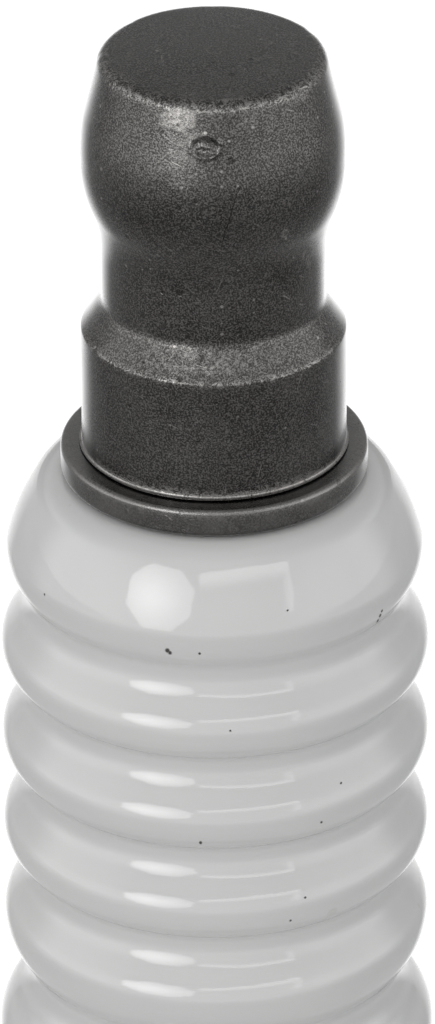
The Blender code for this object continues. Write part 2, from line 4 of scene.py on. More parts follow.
import bmesh
import bpy
from mathutils import Matrix, Vector, noise
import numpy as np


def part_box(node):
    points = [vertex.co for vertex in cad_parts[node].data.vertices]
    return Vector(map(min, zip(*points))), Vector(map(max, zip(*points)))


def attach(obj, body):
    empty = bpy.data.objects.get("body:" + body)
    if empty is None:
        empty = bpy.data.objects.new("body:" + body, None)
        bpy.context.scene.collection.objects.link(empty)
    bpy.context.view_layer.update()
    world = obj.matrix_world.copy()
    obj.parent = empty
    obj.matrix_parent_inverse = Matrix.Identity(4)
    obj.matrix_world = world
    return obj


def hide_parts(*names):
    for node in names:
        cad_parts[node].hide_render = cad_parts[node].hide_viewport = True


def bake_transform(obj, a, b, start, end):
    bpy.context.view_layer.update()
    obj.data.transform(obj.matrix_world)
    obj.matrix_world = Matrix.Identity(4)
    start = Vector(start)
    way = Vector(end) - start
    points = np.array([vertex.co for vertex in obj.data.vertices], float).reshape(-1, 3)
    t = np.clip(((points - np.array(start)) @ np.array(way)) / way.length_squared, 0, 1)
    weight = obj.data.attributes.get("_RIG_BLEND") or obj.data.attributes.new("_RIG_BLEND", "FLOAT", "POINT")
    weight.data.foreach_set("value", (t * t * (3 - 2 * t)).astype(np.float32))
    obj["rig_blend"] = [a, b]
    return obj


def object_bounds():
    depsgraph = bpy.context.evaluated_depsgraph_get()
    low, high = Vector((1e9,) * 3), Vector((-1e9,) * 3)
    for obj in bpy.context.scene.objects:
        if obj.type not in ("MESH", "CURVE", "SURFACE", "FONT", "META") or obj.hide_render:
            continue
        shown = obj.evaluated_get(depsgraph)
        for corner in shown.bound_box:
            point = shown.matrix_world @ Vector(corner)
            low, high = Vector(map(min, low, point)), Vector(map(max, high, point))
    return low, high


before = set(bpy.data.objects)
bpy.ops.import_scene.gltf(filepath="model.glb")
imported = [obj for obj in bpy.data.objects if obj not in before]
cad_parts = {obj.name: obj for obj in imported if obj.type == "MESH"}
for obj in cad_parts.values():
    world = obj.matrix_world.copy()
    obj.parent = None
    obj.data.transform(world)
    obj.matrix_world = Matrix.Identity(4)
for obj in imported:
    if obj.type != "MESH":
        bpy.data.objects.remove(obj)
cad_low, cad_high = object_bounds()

# Terminal nut. The contact that the plug cap's clip grips: turned from steel bar, darkened all
# over, and screwed down the stud's post until it stands on the collar. Its wall is knocked and
# scuffed from handling, and a punch has left a small crater in the front of the head. Bright worn
# patches on the head, chamfer and neck are partly painted highlights, and the wall's colour is
# lightened to a painted sheen where it is seen edge on.
MM = 0.001
SEAM = 1e-7
WEAR_REACH = 0.12
WEAR_FULL_TURN = 50.0
END_FACE_SHARE = 0.83
DIRT = (0.012, 0.011, 0.01)
NUT_SEGMENTS = 288
NUT_STEP = 0.14
NUT_TOP_EDGE_R = 2.77
NUT_RIM_ROUND = 0.3
NUT_CROWN_SLOPE = 5.0
NUT_HEAD_R = 3.18
NUT_HEAD_HIGH = 7.82
NUT_HEAD_LOW = 7.62
NUT_FLANK_ROUND = 4.25
NUT_FLANK_SLOPE = 13.6
NUT_NECK_R = 2.69
NUT_NECK_TOP = 5.22
NUT_NECK_FOOT = 3.82
NUT_BARREL_R = 3.2
NUT_BARREL_TOP = 3.11
NUT_FOOT_FLARE = 0.06
NUT_HOLE_R = 2.1
NUT_HOLE_TOP = 8.32
DIMPLE_ANGLE = -3.5
DIMPLE_HEIGHT = 9.31
DIMPLE_R = 0.36
DIMPLE_SQUASH = 0.75
DIMPLE_DEPTH = 0.065
KNOCKS = 18


def arc(centre, radius, start, end, steps):
    """Points on a circle in the radius-height plane, angles in degrees from outwards to up."""
    points = []
    for step in range(steps + 1):
        angle = radians(start + (end - start) * step / steps)
        points.append((centre[0] + radius * cos(angle), centre[1] + radius * sin(angle)))
    return points


def ogee(start, end, start_share, steps):
    """Two arcs that meet in one slope and leave both end points straight up or down."""
    run = end[1] - start[1]
    rise = end[0] - start[0]
    radii = (run * run + rise * rise) / (2.0 * abs(rise))
    turn = 2.0 * atan2(abs(rise), abs(run))
    start_radius = radii * start_share
    end_radius = radii - start_radius
    inward = copysign(1.0, rise)
    along = copysign(1.0, run)
    halves = [(start, start_radius, step) for step in range(steps)]
    halves += [(end, -end_radius, step) for step in range(steps, -1, -1)]
    points = []
    for corner, bend, step in halves:
        angle = turn * step / steps
        radius = corner[0] + inward * bend * (1.0 - cos(angle))
        points.append((radius, corner[1] + along * bend * sin(angle)))
    return points


def fine(outline, step):
    """Divide an outline's long runs, and give each point the wear that its corner invites."""
    closed = outline[0][0] > 0.0 or outline[-1][0] > 0.0
    runs = list(zip(outline, outline[1:] + outline[:1] if closed else outline[1:]))
    points = []
    for start, end in runs:
        count = max(1, ceil(dist(start, end) / step))
        for part in range(count):
            share = part / count
            radius = start[0] + (end[0] - start[0]) * share
            points.append((radius, start[1] + (end[1] - start[1]) * share))
    if not closed:
        points.append(outline[-1])
    area = sum(a[0] * b[1] - b[0] * a[1] for a, b in zip(points, points[1:] + points[:1]))
    turns = []
    for number, point in enumerate(points):
        before = Vector(points[number - 1])
        after = Vector(points[(number + 1) % len(points)])
        ahead = after - Vector(point)
        behind = Vector(point) - before
        turn = 0.0
        if ahead.length > 0.0 and behind.length > 0.0 and point[0] > 0.01:
            turn = atan2(behind.cross(ahead), behind.dot(ahead)) * copysign(1.0, area)
        turns.append(max(turn, 0.0))
    wear = []
    for point in points:
        total = sum(
            turn * exp(-dist(point, other) / WEAR_REACH)
            for turn, other in zip(turns, points)
            if turn > 0.01
        )
        wear.append(min(total / radians(WEAR_FULL_TURN), 1.0))
    return points, wear, closed


def spun(bm, geom, steps, **how):
    """Spin geometry once round the plug's axis, and join it where it meets itself."""
    how |= {"cent": (0.0, 0.0, 0.0), "axis": (0.0, 0.0, 1.0), "angle": 2.0 * pi}
    bmesh.ops.spin(bm, geom=geom, steps=steps, **how)
    bmesh.ops.remove_doubles(bm, verts=bm.verts, dist=SEAM)


def turned(outline, segments, step):
    """Spin an outline of (radius, height) points, in millimetres, once round the axis.

    The layer named edge holds how exposed each point is, for the wear on its material.
    """
    points, wear, closed = fine(outline, step)
    bm = bmesh.new()
    layer = bm.verts.layers.float.new("edge")
    verts = []
    for (radius, height), worn in zip(points, wear):
        vert = bm.verts.new((radius * MM, 0.0, height * MM))
        vert[layer] = worn
        verts.append(vert)
    edges = [bm.edges.new(pair) for pair in zip(verts, verts[1:])]
    if closed:
        edges.append(bm.edges.new((verts[-1], verts[0])))
    spun(bm, verts + edges, segments, use_merge=True)
    bmesh.ops.recalc_face_normals(bm, faces=bm.faces)
    bm.normal_update()
    return bm


def round_axis(turn, radius, height):
    """The place at an angle, a radius and a height, in millimetres, as a point in metres."""
    return Vector((cos(turn) * radius, sin(turn) * radius, height)) * MM


def bevelled(bm, geom, offset, segments, affect="EDGES"):
    """Round edges or corners over by an offset in millimetres."""
    how = {"offset_type": "OFFSET", "affect": affect, "profile": 0.5, "material": -1}
    bmesh.ops.bevel(bm, geom=geom, offset=offset * MM, segments=segments, **how)


def undulate(bm, depth, size):
    """Move the surface in and out a little, as hand handling and uneven cutting leave it."""
    bm.normal_update()
    for vert in bm.verts:
        vert.co += vert.normal * (depth * MM * noise.noise(vert.co / (size * MM)))


def dent(bm, place, radius, depth):
    """Press a smooth dent of a few tenths of a millimetre towards the axis."""
    inward = Vector((-place.x, -place.y, -0.4 * hypot(place.x, place.y))).normalized()
    for vert in bm.verts:
        away = (vert.co - place).length / (radius * MM)
        if away < 1.0:
            vert.co += inward * (depth * MM * (1.0 - away * away) ** 2)


def finished(bm, name, material, crease=40.0):
    """Turn a finished mesh into a named piece of the model."""
    mesh = bpy.data.meshes.new(name)
    bm.to_mesh(mesh)
    bm.free()
    mesh.shade_smooth()
    mesh.set_sharp_from_angle(angle=radians(crease))
    mesh.materials.append(material)
    piece = bpy.data.objects.new(name, mesh)
    bpy.context.scene.collection.objects.link(piece)
    return piece


def add(tree, kind, inputs, **settings):
    """Add a shader node. An input is a value, or another node's output to link."""
    node = tree.nodes.new(kind)
    for name, value in settings.items():
        setattr(node, name, value)
    for socket, value in inputs.items():
        if isinstance(value, bpy.types.NodeSocket):
            tree.links.new(value, node.inputs[socket])
        else:
            node.inputs[socket].default_value = value
    return node


def calculate(tree, operation, *values):
    """A Math node's result."""
    inputs = dict(enumerate(values))
    return add(tree, "ShaderNodeMath", inputs, operation=operation).outputs[0]


def times(tree, value, factor):
    """A value multiplied by another."""
    return calculate(tree, "MULTIPLY", value, factor)


def times_plus(tree, value, factor, more):
    """A value multiplied by another, with a third added."""
    return calculate(tree, "MULTIPLY_ADD", value, factor, more)


def larger(tree, value, other):
    """The larger of two values."""
    return calculate(tree, "MAXIMUM", value, other)


def parted(tree, vector):
    """A vector's X, Y and Z."""
    return add(tree, "ShaderNodeSeparateXYZ", {0: vector}).outputs


def flat(tree, across, along):
    """A vector with an X and a Y, and no height."""
    return add(tree, "ShaderNodeCombineXYZ", {"X": across, "Y": along}).outputs[0]


def measured(tree, operation, *vectors):
    """A Vector Math node's number: a length, a distance or a dot product."""
    inputs = dict(enumerate(vectors))
    return add(tree, "ShaderNodeVectorMath", inputs, operation=operation).outputs["Value"]


def from_axis(tree, position):
    """A position's X, Y and Z, and its distance from the plug's axis."""
    parts = parted(tree, position)
    return parts, measured(tree, "LENGTH", flat(tree, parts["X"], parts["Y"]))


def mixed(tree, share, first, second):
    """Two numbers mixed by a share from 0 to 1."""
    return add(tree, "ShaderNodeMix", {"Factor": share, 2: first, 3: second}).outputs[0]


def graded(tree, value, low, high, to_low=0.0, to_high=1.0):
    """A value stretched between two limits, smoothly and held at its ends."""
    inputs = {"Value": value, "From Min": low, "From Max": high}
    inputs |= {"To Min": to_low, "To Max": to_high}
    node = add(tree, "ShaderNodeMapRange", inputs, interpolation_type="SMOOTHSTEP")
    return node.outputs["Result"]


def blended(tree, share, first, second):
    """Two colours mixed by a share from 0 to 1."""
    inputs = {"Factor": share, 6: first, 7: second}
    for socket in (6, 7):
        if isinstance(inputs[socket], tuple):
            inputs[socket] = (*inputs[socket], 1.0)
    return add(tree, "ShaderNodeMix", inputs, data_type="RGBA").outputs[2]


def noisy(tree, position, size, detail=2.0, **inputs):
    """A Noise texture whose features are about that many millimetres across."""
    given = {"Vector": position, "Scale": 1.0 / (size * MM), "Detail": detail, **inputs}
    return add(tree, "ShaderNodeTexNoise", given).outputs[0]


def node_group(inputs, output, output_kind="NodeSocketFloat"):
    """Turn a function that adds nodes and gives back a result into a shader node group."""

    def build(fill):
        group = bpy.data.node_groups.new(fill.__name__, "ShaderNodeTree")
        for socket in inputs:
            kind = "NodeSocketVector" if socket in ("Position", "Place") else "NodeSocketFloat"
            group.interface.new_socket(socket, in_out="INPUT", socket_type=kind)
        group.interface.new_socket(output, in_out="OUTPUT", socket_type=output_kind)
        result = fill(group, group.nodes.new("NodeGroupInput").outputs)
        group.links.new(result, group.nodes.new("NodeGroupOutput").inputs[output])
        return group

    return build


def use(tree, group, **inputs):
    """Place a node group in a material and give back its one output."""
    return add(tree, "ShaderNodeGroup", inputs, node_tree=group).outputs[0]


@node_group(("Position", "Spacing"), "Height")
def turning_marks(group, given):
    """Rings that the cutting tool leaves, round the axis on walls and on end faces."""
    parts, radius = from_axis(group, given["Position"])
    along = times_plus(group, radius, END_FACE_SHARE, parts["Z"])
    count = calculate(group, "DIVIDE", along, times(group, given["Spacing"], MM))
    rings = {"W": count, "Scale": 1.0, "Detail": 3.0}
    rings = add(group, "ShaderNodeTexNoise", rings, noise_dimensions="1D")
    return rings.outputs[0]


@node_group(("Position",), "Place", "NodeSocketVector")
def unrolled(group, given):
    """The wall laid out flat in millimetres: round the axis, and along the outline."""
    parts, radius = from_axis(group, given["Position"])
    turn = calculate(group, "ARCTAN2", parts["X"], times(group, parts["Y"], -1.0))
    around = times(group, turn, calculate(group, "DIVIDE", radius, MM))
    along = times_plus(group, radius, -END_FACE_SHARE, parts["Z"])
    return flat(group, around, calculate(group, "DIVIDE", along, MM))


@node_group(("Place", "Length", "Width", "Lean", "Share"), "Mask")
def hairlines(group, given):
    """Straight fine scratches on the unrolled wall, Length and Width in mm, leaning by an angle."""
    lean = add(group, "ShaderNodeVectorRotate", {"Vector": given["Place"], "Angle": given["Lean"]})
    lean.rotation_type = "Z_AXIS"
    wander = {"Vector": lean.outputs[0], "Scale": 0.6, "Detail": 0.0}
    wander = add(group, "ShaderNodeTexNoise", wander)
    parts = parted(group, lean.outputs[0])
    aside = times_plus(group, wander.outputs[0], 0.5, parts["X"])
    across = calculate(group, "DIVIDE", aside, times(group, given["Width"], 10.0))
    along = calculate(group, "DIVIDE", parts["Y"], times(group, given["Length"], 2.0))
    cells = add(group, "ShaderNodeTexVoronoi", {"Scale": 1.0}, voronoi_dimensions="2D")
    packed = flat(group, across, along)
    group.links.new(packed, cells.inputs["Vector"])
    chance = add(group, "ShaderNodeSeparateColor", {0: cells.outputs["Color"]}).outputs
    apart = {0: packed, 1: cells.outputs["Position"]}
    apart = add(group, "ShaderNodeVectorMath", apart, operation="SUBTRACT")
    apart = parted(group, apart.outputs[0])
    thin = graded(group, calculate(group, "ABSOLUTE", apart["X"]), 0.02, 0.07, 1.0, 0.0)
    tapered = graded(group, calculate(group, "ABSOLUTE", apart["Y"]), 0.1, 0.3, 1.0, 0.0)
    chosen = calculate(group, "LESS_THAN", chance[0], given["Share"])
    line = times(group, thin, tapered)
    line = times(group, line, times_plus(group, chance[1], 0.7, 0.3))
    return times(group, chosen, line)


@node_group(("Place", "Across", "Along", "Radius"), "Mask")
def spot(group, given):
    """One soft round spot on the unrolled wall, its middle and its radius given in mm."""
    away = measured(group, "DISTANCE", given["Place"], flat(group, given["Across"], given["Along"]))
    inner = times(group, given["Radius"], 0.45)
    return graded(group, away, inner, given["Radius"], 1.0, 0.0)


@node_group(("Place", "Across", "Along", "Length", "Lean"), "Mask")
def gouge(group, given):
    """One straight scratch on the unrolled wall: its middle and length in mm, and its lean."""
    away = {0: given["Place"], 1: flat(group, given["Across"], given["Along"])}
    away = add(group, "ShaderNodeVectorMath", away, operation="SUBTRACT").outputs[0]
    lean = {"Vector": away, "Angle": given["Lean"]}
    lean = add(group, "ShaderNodeVectorRotate", lean, rotation_type="Z_AXIS")
    parts = parted(group, lean.outputs[0])
    waver = {"Vector": given["Place"], "Scale": 3.0, "Detail": 1.0}
    waver = add(group, "ShaderNodeTexNoise", waver).outputs[0]
    aside = times_plus(group, calculate(group, "SUBTRACT", waver, 0.5), 0.1, parts["X"])
    thin = graded(group, calculate(group, "ABSOLUTE", aside), 0.008, 0.028, 1.0, 0.0)
    half = times(group, given["Length"], 0.5)
    within = calculate(group, "LESS_THAN", calculate(group, "ABSOLUTE", parts["Y"]), half)
    return times(group, thin, within)


@node_group(("Position", "Size", "Share"), "Mask")
def specks(group, given):
    """Scattered round specks or pits. Share is how many of the cells hold one."""
    size = calculate(group, "DIVIDE", 1.0 / MM, given["Size"])
    cells = add(group, "ShaderNodeTexVoronoi", {"Vector": given["Position"], "Scale": size})
    chance = add(group, "ShaderNodeSeparateColor", {0: cells.outputs["Color"]}).outputs
    chosen = calculate(group, "LESS_THAN", chance[0], given["Share"])
    radius = times_plus(group, chance[1], 0.2, 0.08)
    inner = times(group, radius, 0.6)
    round_speck = graded(group, cells.outputs["Distance"], inner, radius, 1.0, 0.0)
    return times(group, chosen, round_speck)


@node_group(("Position", "Edge", "Reach"), "Mask")
def worn_edges(group, given):
    """Patchy wear where an edge stands proud. Edge is the mesh's own edge layer."""
    patches = noisy(group, given["Position"], 0.16, 6.0, Roughness=0.8)
    lifted = times_plus(group, given["Edge"], given["Reach"], patches)
    swirl = noisy(group, given["Position"], 0.3, 3.0, Distortion=1.2)
    swirl = calculate(group, "SUBTRACT", swirl, 0.5)
    curls = graded(group, calculate(group, "ABSOLUTE", swirl), 0.01, 0.035, 1.0, 0.0)
    curls = times(group, curls, graded(group, given["Edge"], 0.3, 0.6))
    return larger(group, curls, graded(group, lifted, 0.86, 1.0))


def new_material(name, metallic=0.0):
    """A material with its Principled shader, its tree and the piece's own coordinates."""
    material = bpy.data.materials.new(name)
    material.use_nodes = True
    tree = material.node_tree
    shader = tree.nodes["Principled BSDF"]
    shader.inputs["Metallic"].default_value = metallic
    return material, tree, shader, tree.nodes.new("ShaderNodeTexCoord").outputs["Object"]


def edge_layer_of(tree):
    """The mesh's own edge layer: how exposed each point is."""
    return add(tree, "ShaderNodeAttribute", {}, attribute_name="edge").outputs["Fac"]


def overlaid(tree, colour, coats):
    """A colour under coats, each given as (mask, strength, colour)."""
    for mask, strength, coat in coats:
        colour = blended(tree, times(tree, mask, strength), colour, coat)
    return colour


def set_surface(tree, shader, colour, roughness, height, relief):
    """Link a colour, a roughness and a height to a shader. Relief is the height's size in mm."""
    tree.links.new(colour, shader.inputs["Base Color"])
    tree.links.new(roughness, shader.inputs["Roughness"])
    bump = add(tree, "ShaderNodeBump", {"Height": height, "Strength": 1.0, "Distance": relief * MM})
    tree.links.new(bump.outputs[0], shader.inputs["Normal"])


def painted_rim_sheen(tree, colour, strength):
    """Paint a sheen on a metal: lighten its colour towards white where it is seen nearly edge on."""
    facing = add(tree, "ShaderNodeLayerWeight", {"Blend": 0.5}).outputs["Facing"]
    glancing = graded(tree, facing, 0.62, 0.98, 0.0, strength)
    return blended(tree, glancing, colour, (1.0, 1.0, 1.0))


def darkened_steel(name, deep, pale, scuffed, ring_spacing, wear_share, rubs_and_highlights=(), gouges=()):
    """Steel with a dark finish: tone blotches, tool rings, grain, scratches and worn edges.

    The bright patches are worn spots that are partly painted highlights, laid where the
    softboxes' reflections fall, each given as (across, along, radius, strength) on the unrolled
    wall. The colour also gets a painted sheen where the wall is seen edge on.
    """
    material, tree, shader, position = new_material(name, 1.0)
    edge = edge_layer_of(tree)
    blotch = graded(tree, noisy(tree, position, 1.6, 4.0), 0.32, 0.68)
    grain = noisy(tree, position, 0.04, 2.0)
    rings = use(tree, turning_marks, Position=position, Spacing=ring_spacing)
    place = use(tree, unrolled, Position=position)
    upright = use(tree, hairlines, Place=place, Length=0.6, Width=0.025, Lean=0.3, Share=0.05)
    slanted = use(tree, hairlines, Place=place, Length=0.35, Width=0.03, Lean=-1.1, Share=0.05)
    scratches = larger(tree, upright, slanted)
    pits = use(tree, specks, Position=position, Size=0.42, Share=0.16)
    flecks = use(tree, specks, Position=position, Size=0.19, Share=0.1)
    wear = use(tree, worn_edges, Position=position, Edge=edge, Reach=0.52)
    mottle = noisy(tree, position, 0.13, 5.0, Roughness=0.75)
    # Bright worn patches, partly painted highlights where the softboxes' reflections fall.
    rubbed_and_highlit = 0.0
    for across, along, radius, strength in rubs_and_highlights:
        patch = use(tree, spot, Place=place, Across=across, Along=along, Radius=radius)
        rubbed_and_highlit = larger(tree, times(tree, patch, strength), rubbed_and_highlit)
    rubbed_and_highlit = graded(tree, times_plus(tree, rubbed_and_highlit, 0.5, mottle), 0.62, 1.1)
    pressed = graded(tree, noisy(tree, position, 0.07, 3.0), 0.42, 0.6, 0.25, 1.0)
    rubbed_and_highlit = times(tree, rubbed_and_highlit, pressed)
    torn = 0.0
    for across, along, length, slope in gouges:
        line = use(tree, gouge, Place=place, Across=across, Along=along, Length=length, Lean=slope)
        torn = larger(tree, line, torn)
    colour = blended(tree, blotch, deep, pale)
    colour = blended(tree, graded(tree, grain, 0.4, 0.68, 0.0, 0.3), colour, scuffed)
    # The first coat lays the bright worn patches on: partly wear, partly painted highlight.
    coats = (
        (rubbed_and_highlit, 0.75, scuffed),
        (scratches, 0.35, scuffed),
        (pits, 0.6, DIRT),
        (wear, wear_share, scuffed),
        (flecks, 0.5, scuffed),
        (torn, 0.7, DIRT),
    )
    colour = overlaid(tree, colour, coats)
    roughness = times_plus(tree, blotch, 0.08, 0.2)
    roughness = times_plus(tree, rubbed_and_highlit, 0.12, roughness)
    roughness = larger(tree, roughness, graded(tree, edge, 0.15, 0.4, 0.0, 0.2))
    roughness = times_plus(tree, grain, 0.12, roughness)
    height = times_plus(tree, rings, 0.35, grain)
    height = times_plus(tree, scratches, -0.5, height)
    height = times_plus(tree, pits, -1.2, height)
    height = times_plus(tree, torn, -1.0, height)
    height = times_plus(tree, times(tree, rubbed_and_highlit, mottle), 1.5, height)
    # Painted sheen: the colour is lightened towards white where the wall is seen edge on.
    set_surface(tree, shader, painted_rim_sheen(tree, colour, 0.85), roughness, height, 0.006)
    return material


nut_low, nut_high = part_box("terminal_nut")
nut_foot = nut_low.z / MM
nut_tall = (nut_high.z - nut_low.z) / MM
flank_centre = (NUT_HEAD_R - NUT_FLANK_ROUND, NUT_HEAD_HIGH)
outline = [(0.0, NUT_HOLE_TOP + 0.5), (NUT_HOLE_R, NUT_HOLE_TOP), (NUT_HOLE_R, 0.0)]
outline += [(NUT_BARREL_R + NUT_FOOT_FLARE, 0.0), (NUT_BARREL_R + NUT_FOOT_FLARE, 0.02)]
foot_centre = (NUT_BARREL_R + NUT_FOOT_FLARE, 0.02 + NUT_FOOT_FLARE)
outline += arc(foot_centre, NUT_FOOT_FLARE, 270.0, 180.0, 6)[1:]
outline += arc((NUT_BARREL_R - 0.12, NUT_BARREL_TOP - 0.06), 0.12, 0.0, 35.0, 4)
outline += [(NUT_NECK_R + 0.03, NUT_NECK_FOOT - 0.04), (NUT_NECK_R, NUT_NECK_FOOT + 0.05)]
outline += ogee((NUT_NECK_R, NUT_NECK_TOP), (NUT_HEAD_R, NUT_HEAD_LOW), 0.45, 14)
outline += arc(flank_centre, NUT_FLANK_ROUND, 0.0, NUT_FLANK_SLOPE, 12)
rim_centre = (NUT_TOP_EDGE_R - NUT_RIM_ROUND, nut_tall + 0.02 - NUT_RIM_ROUND)
outline += arc(rim_centre, NUT_RIM_ROUND, NUT_FLANK_SLOPE, 90.0 - NUT_CROWN_SLOPE, 8)
crown_round = outline[-1][0] / sin(radians(NUT_CROWN_SLOPE))
crown_centre = (0.0, outline[-1][1] - crown_round * cos(radians(NUT_CROWN_SLOPE)))
outline += arc(crown_centre, crown_round, 90.0 - NUT_CROWN_SLOPE, 90.0, 6)[1:-1]
outline.append((0.0, crown_centre[1] + crown_round))
nut_mesh = turned(outline, NUT_SEGMENTS, NUT_STEP)
bmesh.ops.translate(nut_mesh, verts=nut_mesh.verts, vec=(0.0, 0.0, nut_low.z))

dimple_turn = radians(DIMPLE_ANGLE)
dimple_rise = DIMPLE_HEIGHT - NUT_HEAD_HIGH
dimple_wall = NUT_HEAD_R - NUT_FLANK_ROUND + sqrt(NUT_FLANK_ROUND**2 - dimple_rise**2)
dimple_x = sin(dimple_turn) * dimple_wall
dimple_y = -cos(dimple_turn) * dimple_wall
dimple = Vector((dimple_x, dimple_y, nut_foot + DIMPLE_HEIGHT)) * MM
near_dimple = {
    edge
    for face in nut_mesh.faces
    if (face.calc_center_median() - dimple).length < 1.7 * DIMPLE_R * MM
    for edge in face.edges
}
bmesh.ops.subdivide_edges(nut_mesh, edges=list(near_dimple), cuts=3, use_grid_fill=True)
undulate(nut_mesh, 0.012, 1.6)
knocks = random.Random(41)
for _ in range(KNOCKS):
    turn = knocks.uniform(0.0, 2.0 * pi)
    radius = knocks.uniform(0.12, 0.32)
    height = nut_tall - knocks.choice((0.05, 0.1, 0.2))
    place = round_axis(turn, NUT_TOP_EDGE_R, nut_foot + height)
    dent(nut_mesh, place, radius, knocks.uniform(0.01, 0.035))
edge_layer = nut_mesh.verts.layers.float["edge"]
for vert in nut_mesh.verts:
    on_chamfer = NUT_NECK_FOOT - 0.15 > vert.co.z / MM - nut_foot > NUT_BARREL_TOP - 0.05
    if on_chamfer and hypot(vert.co.x, vert.co.y) > NUT_NECK_R * MM:
        vert[edge_layer] = max(vert[edge_layer], 0.3)
    aside = vert.co - dimple
    away = Vector((aside.x, aside.y, aside.z / DIMPLE_SQUASH)).length / (DIMPLE_R * MM)
    if away < 1.6 and vert.co.y < -2.0 * MM:
        pocks = noise.noise(vert.co / (0.09 * MM))
        hollow = max(1.0 - away * away, 0.0)
        rim = exp(-(((away - 1.0) / 0.2) ** 2))
        push = 0.025 * rim * (1.0 + 0.9 * pocks)
        push -= DIMPLE_DEPTH * min(hollow * 1.6, 1.0) * (0.7 + 0.8 * pocks)
        vert.co += Vector((0.0, -1.0, 0.25)).normalized() * (push * MM)
        vert[edge_layer] = max(vert[edge_layer], 0.35 * rim)

# Bright worn patches on the head, partly painted highlights: they lie where the left softbox's reflection
# falls on the rim and upper flank, and along the top edge's bright line.
HEAD_HIGHLIGHT_RUBS = (
    (-0.75, 50.3, 0.5, 1.0),
    (-1.1, 50.2, 0.35, 0.8),
    (-0.65, 49.5, 0.75, 0.5),
    (-0.7, 48.7, 0.6, 0.35),
    (0.9, 50.2, 0.4, 0.45),
    (1.4, 50.15, 0.35, 0.35),
    (-0.5, 50.95, 0.5, 0.4),
    (0.5, 50.98, 0.4, 0.4),
)
# Bright worn patches round the chamfer's front, partly a painted highlight for its bright band.
CHAMFER_HIGHLIGHT_RUBS = tuple((0.5 * step, 43.8, 0.55, 0.62 - 0.06 * abs(step)) for step in range(-3, 4))
# Bright worn patches at the sides where neck meets head, partly a painted highlight there.
NECK_HIGHLIGHT_RUBS = ((2.7, 46.1, 0.45, 0.5), (1.8, 46.95, 0.16, 0.7), (-2.6, 46.3, 0.35, 0.35))
NUT_GOUGES = ((0.43, 47.7, 1.5, 0.3), (1.35, 47.4, 0.35, 1.1))

terminal_steel = darkened_steel(
    "darkened_terminal_steel",
    (0.0245, 0.0238, 0.023),
    (0.0355, 0.0348, 0.0335),
    (0.3, 0.29, 0.28),
    0.09,
    0.45,
    HEAD_HIGHLIGHT_RUBS + CHAMFER_HIGHLIGHT_RUBS + NECK_HIGHLIGHT_RUBS,
    NUT_GOUGES,
)
contact_nut = finished(nut_mesh, "contact_nut", terminal_steel, 60.0)
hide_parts("terminal_nut")
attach(contact_nut, "terminal_nut")

# Terminal stud. A headed steel pin fused into the ceramic: its collar rests on the insulator, an
# M4 post stands above it inside the nut, and a grooved tip is held below in the glass seal.
STUD_SEGMENTS = 256
COLLAR_R = 3.72
COLLAR_TOP = 42.63
COLLAR_FOOT = 41.88
SHANK_R = 1.95
SHANK_FOOT = 22.1
STUD_TIP_R = 1.72
STUD_TIP_FOOT = 17.85
POST_R = 2.0
POST_CORE_R = 1.62
POST_PITCH = 0.7
POST_TOP = 50.6
POST_STEPS = 72


def threaded(core_r, crest_r, pitch, bottom, top, steps, end_depth):
    """The skin of a screw thread, open at both ends, with each end chamfered to end_depth."""
    crest = 0.16 * pitch
    flank = 0.5 * pitch - crest
    soft = 0.05 * pitch
    bm = bmesh.new()
    bm.verts.layers.float.new("edge")
    verts = []
    height = bottom - 2.0 * pitch
    shape = (
        (core_r, crest),
        (core_r, soft),
        (core_r + 0.12 * (crest_r - core_r), flank - 2.0 * soft),
        (crest_r - 0.12 * (crest_r - core_r), soft),
        (crest_r, crest),
        (crest_r, soft),
        (crest_r - 0.12 * (crest_r - core_r), flank - 2.0 * soft),
        (core_r + 0.12 * (crest_r - core_r), soft),
    )
    while height < top + pitch:
        for radius, rise in shape:
            verts.append(bm.verts.new((radius * MM, 0.0, height * MM)))
            height += rise
    edges = [bm.edges.new(pair) for pair in zip(verts, verts[1:])]
    spun(bm, verts + edges, steps, dvec=(0.0, 0.0, pitch * MM / steps))
    for cut, outwards in ((top, 1.0), (bottom, -1.0)):
        bmesh.ops.bisect_plane(
            bm,
            geom=bm.verts[:] + bm.edges[:] + bm.faces[:],
            dist=SEAM,
            plane_co=(0.0, 0.0, cut * MM),
            plane_no=(0.0, 0.0, outwards),
            clear_outer=True,
        )
    for vert in bm.verts:
        to_end = min(top * MM - vert.co.z, vert.co.z - bottom * MM)
        limit = (core_r - end_depth) * MM + to_end
        radius = hypot(vert.co.x, vert.co.y)
        if radius > limit:
            vert.co.x *= limit / radius
            vert.co.y *= limit / radius
    bmesh.ops.remove_doubles(bm, verts=bm.verts, dist=10.0 * SEAM)
    layer = bm.verts.layers.float["edge"]
    for vert in bm.verts:
        share = (hypot(vert.co.x, vert.co.y) / MM - core_r) / (crest_r - core_r)
        vert[layer] = 0.6 * max(share - 0.7, 0.0) / 0.3
    return bm


def joined(first, second):
    """Put one mesh's pieces into another mesh, and let the second one go."""
    part = bpy.data.meshes.new("part")
    second.to_mesh(part)
    second.free()
    first.from_mesh(part)
    bpy.data.meshes.remove(part)
    return first


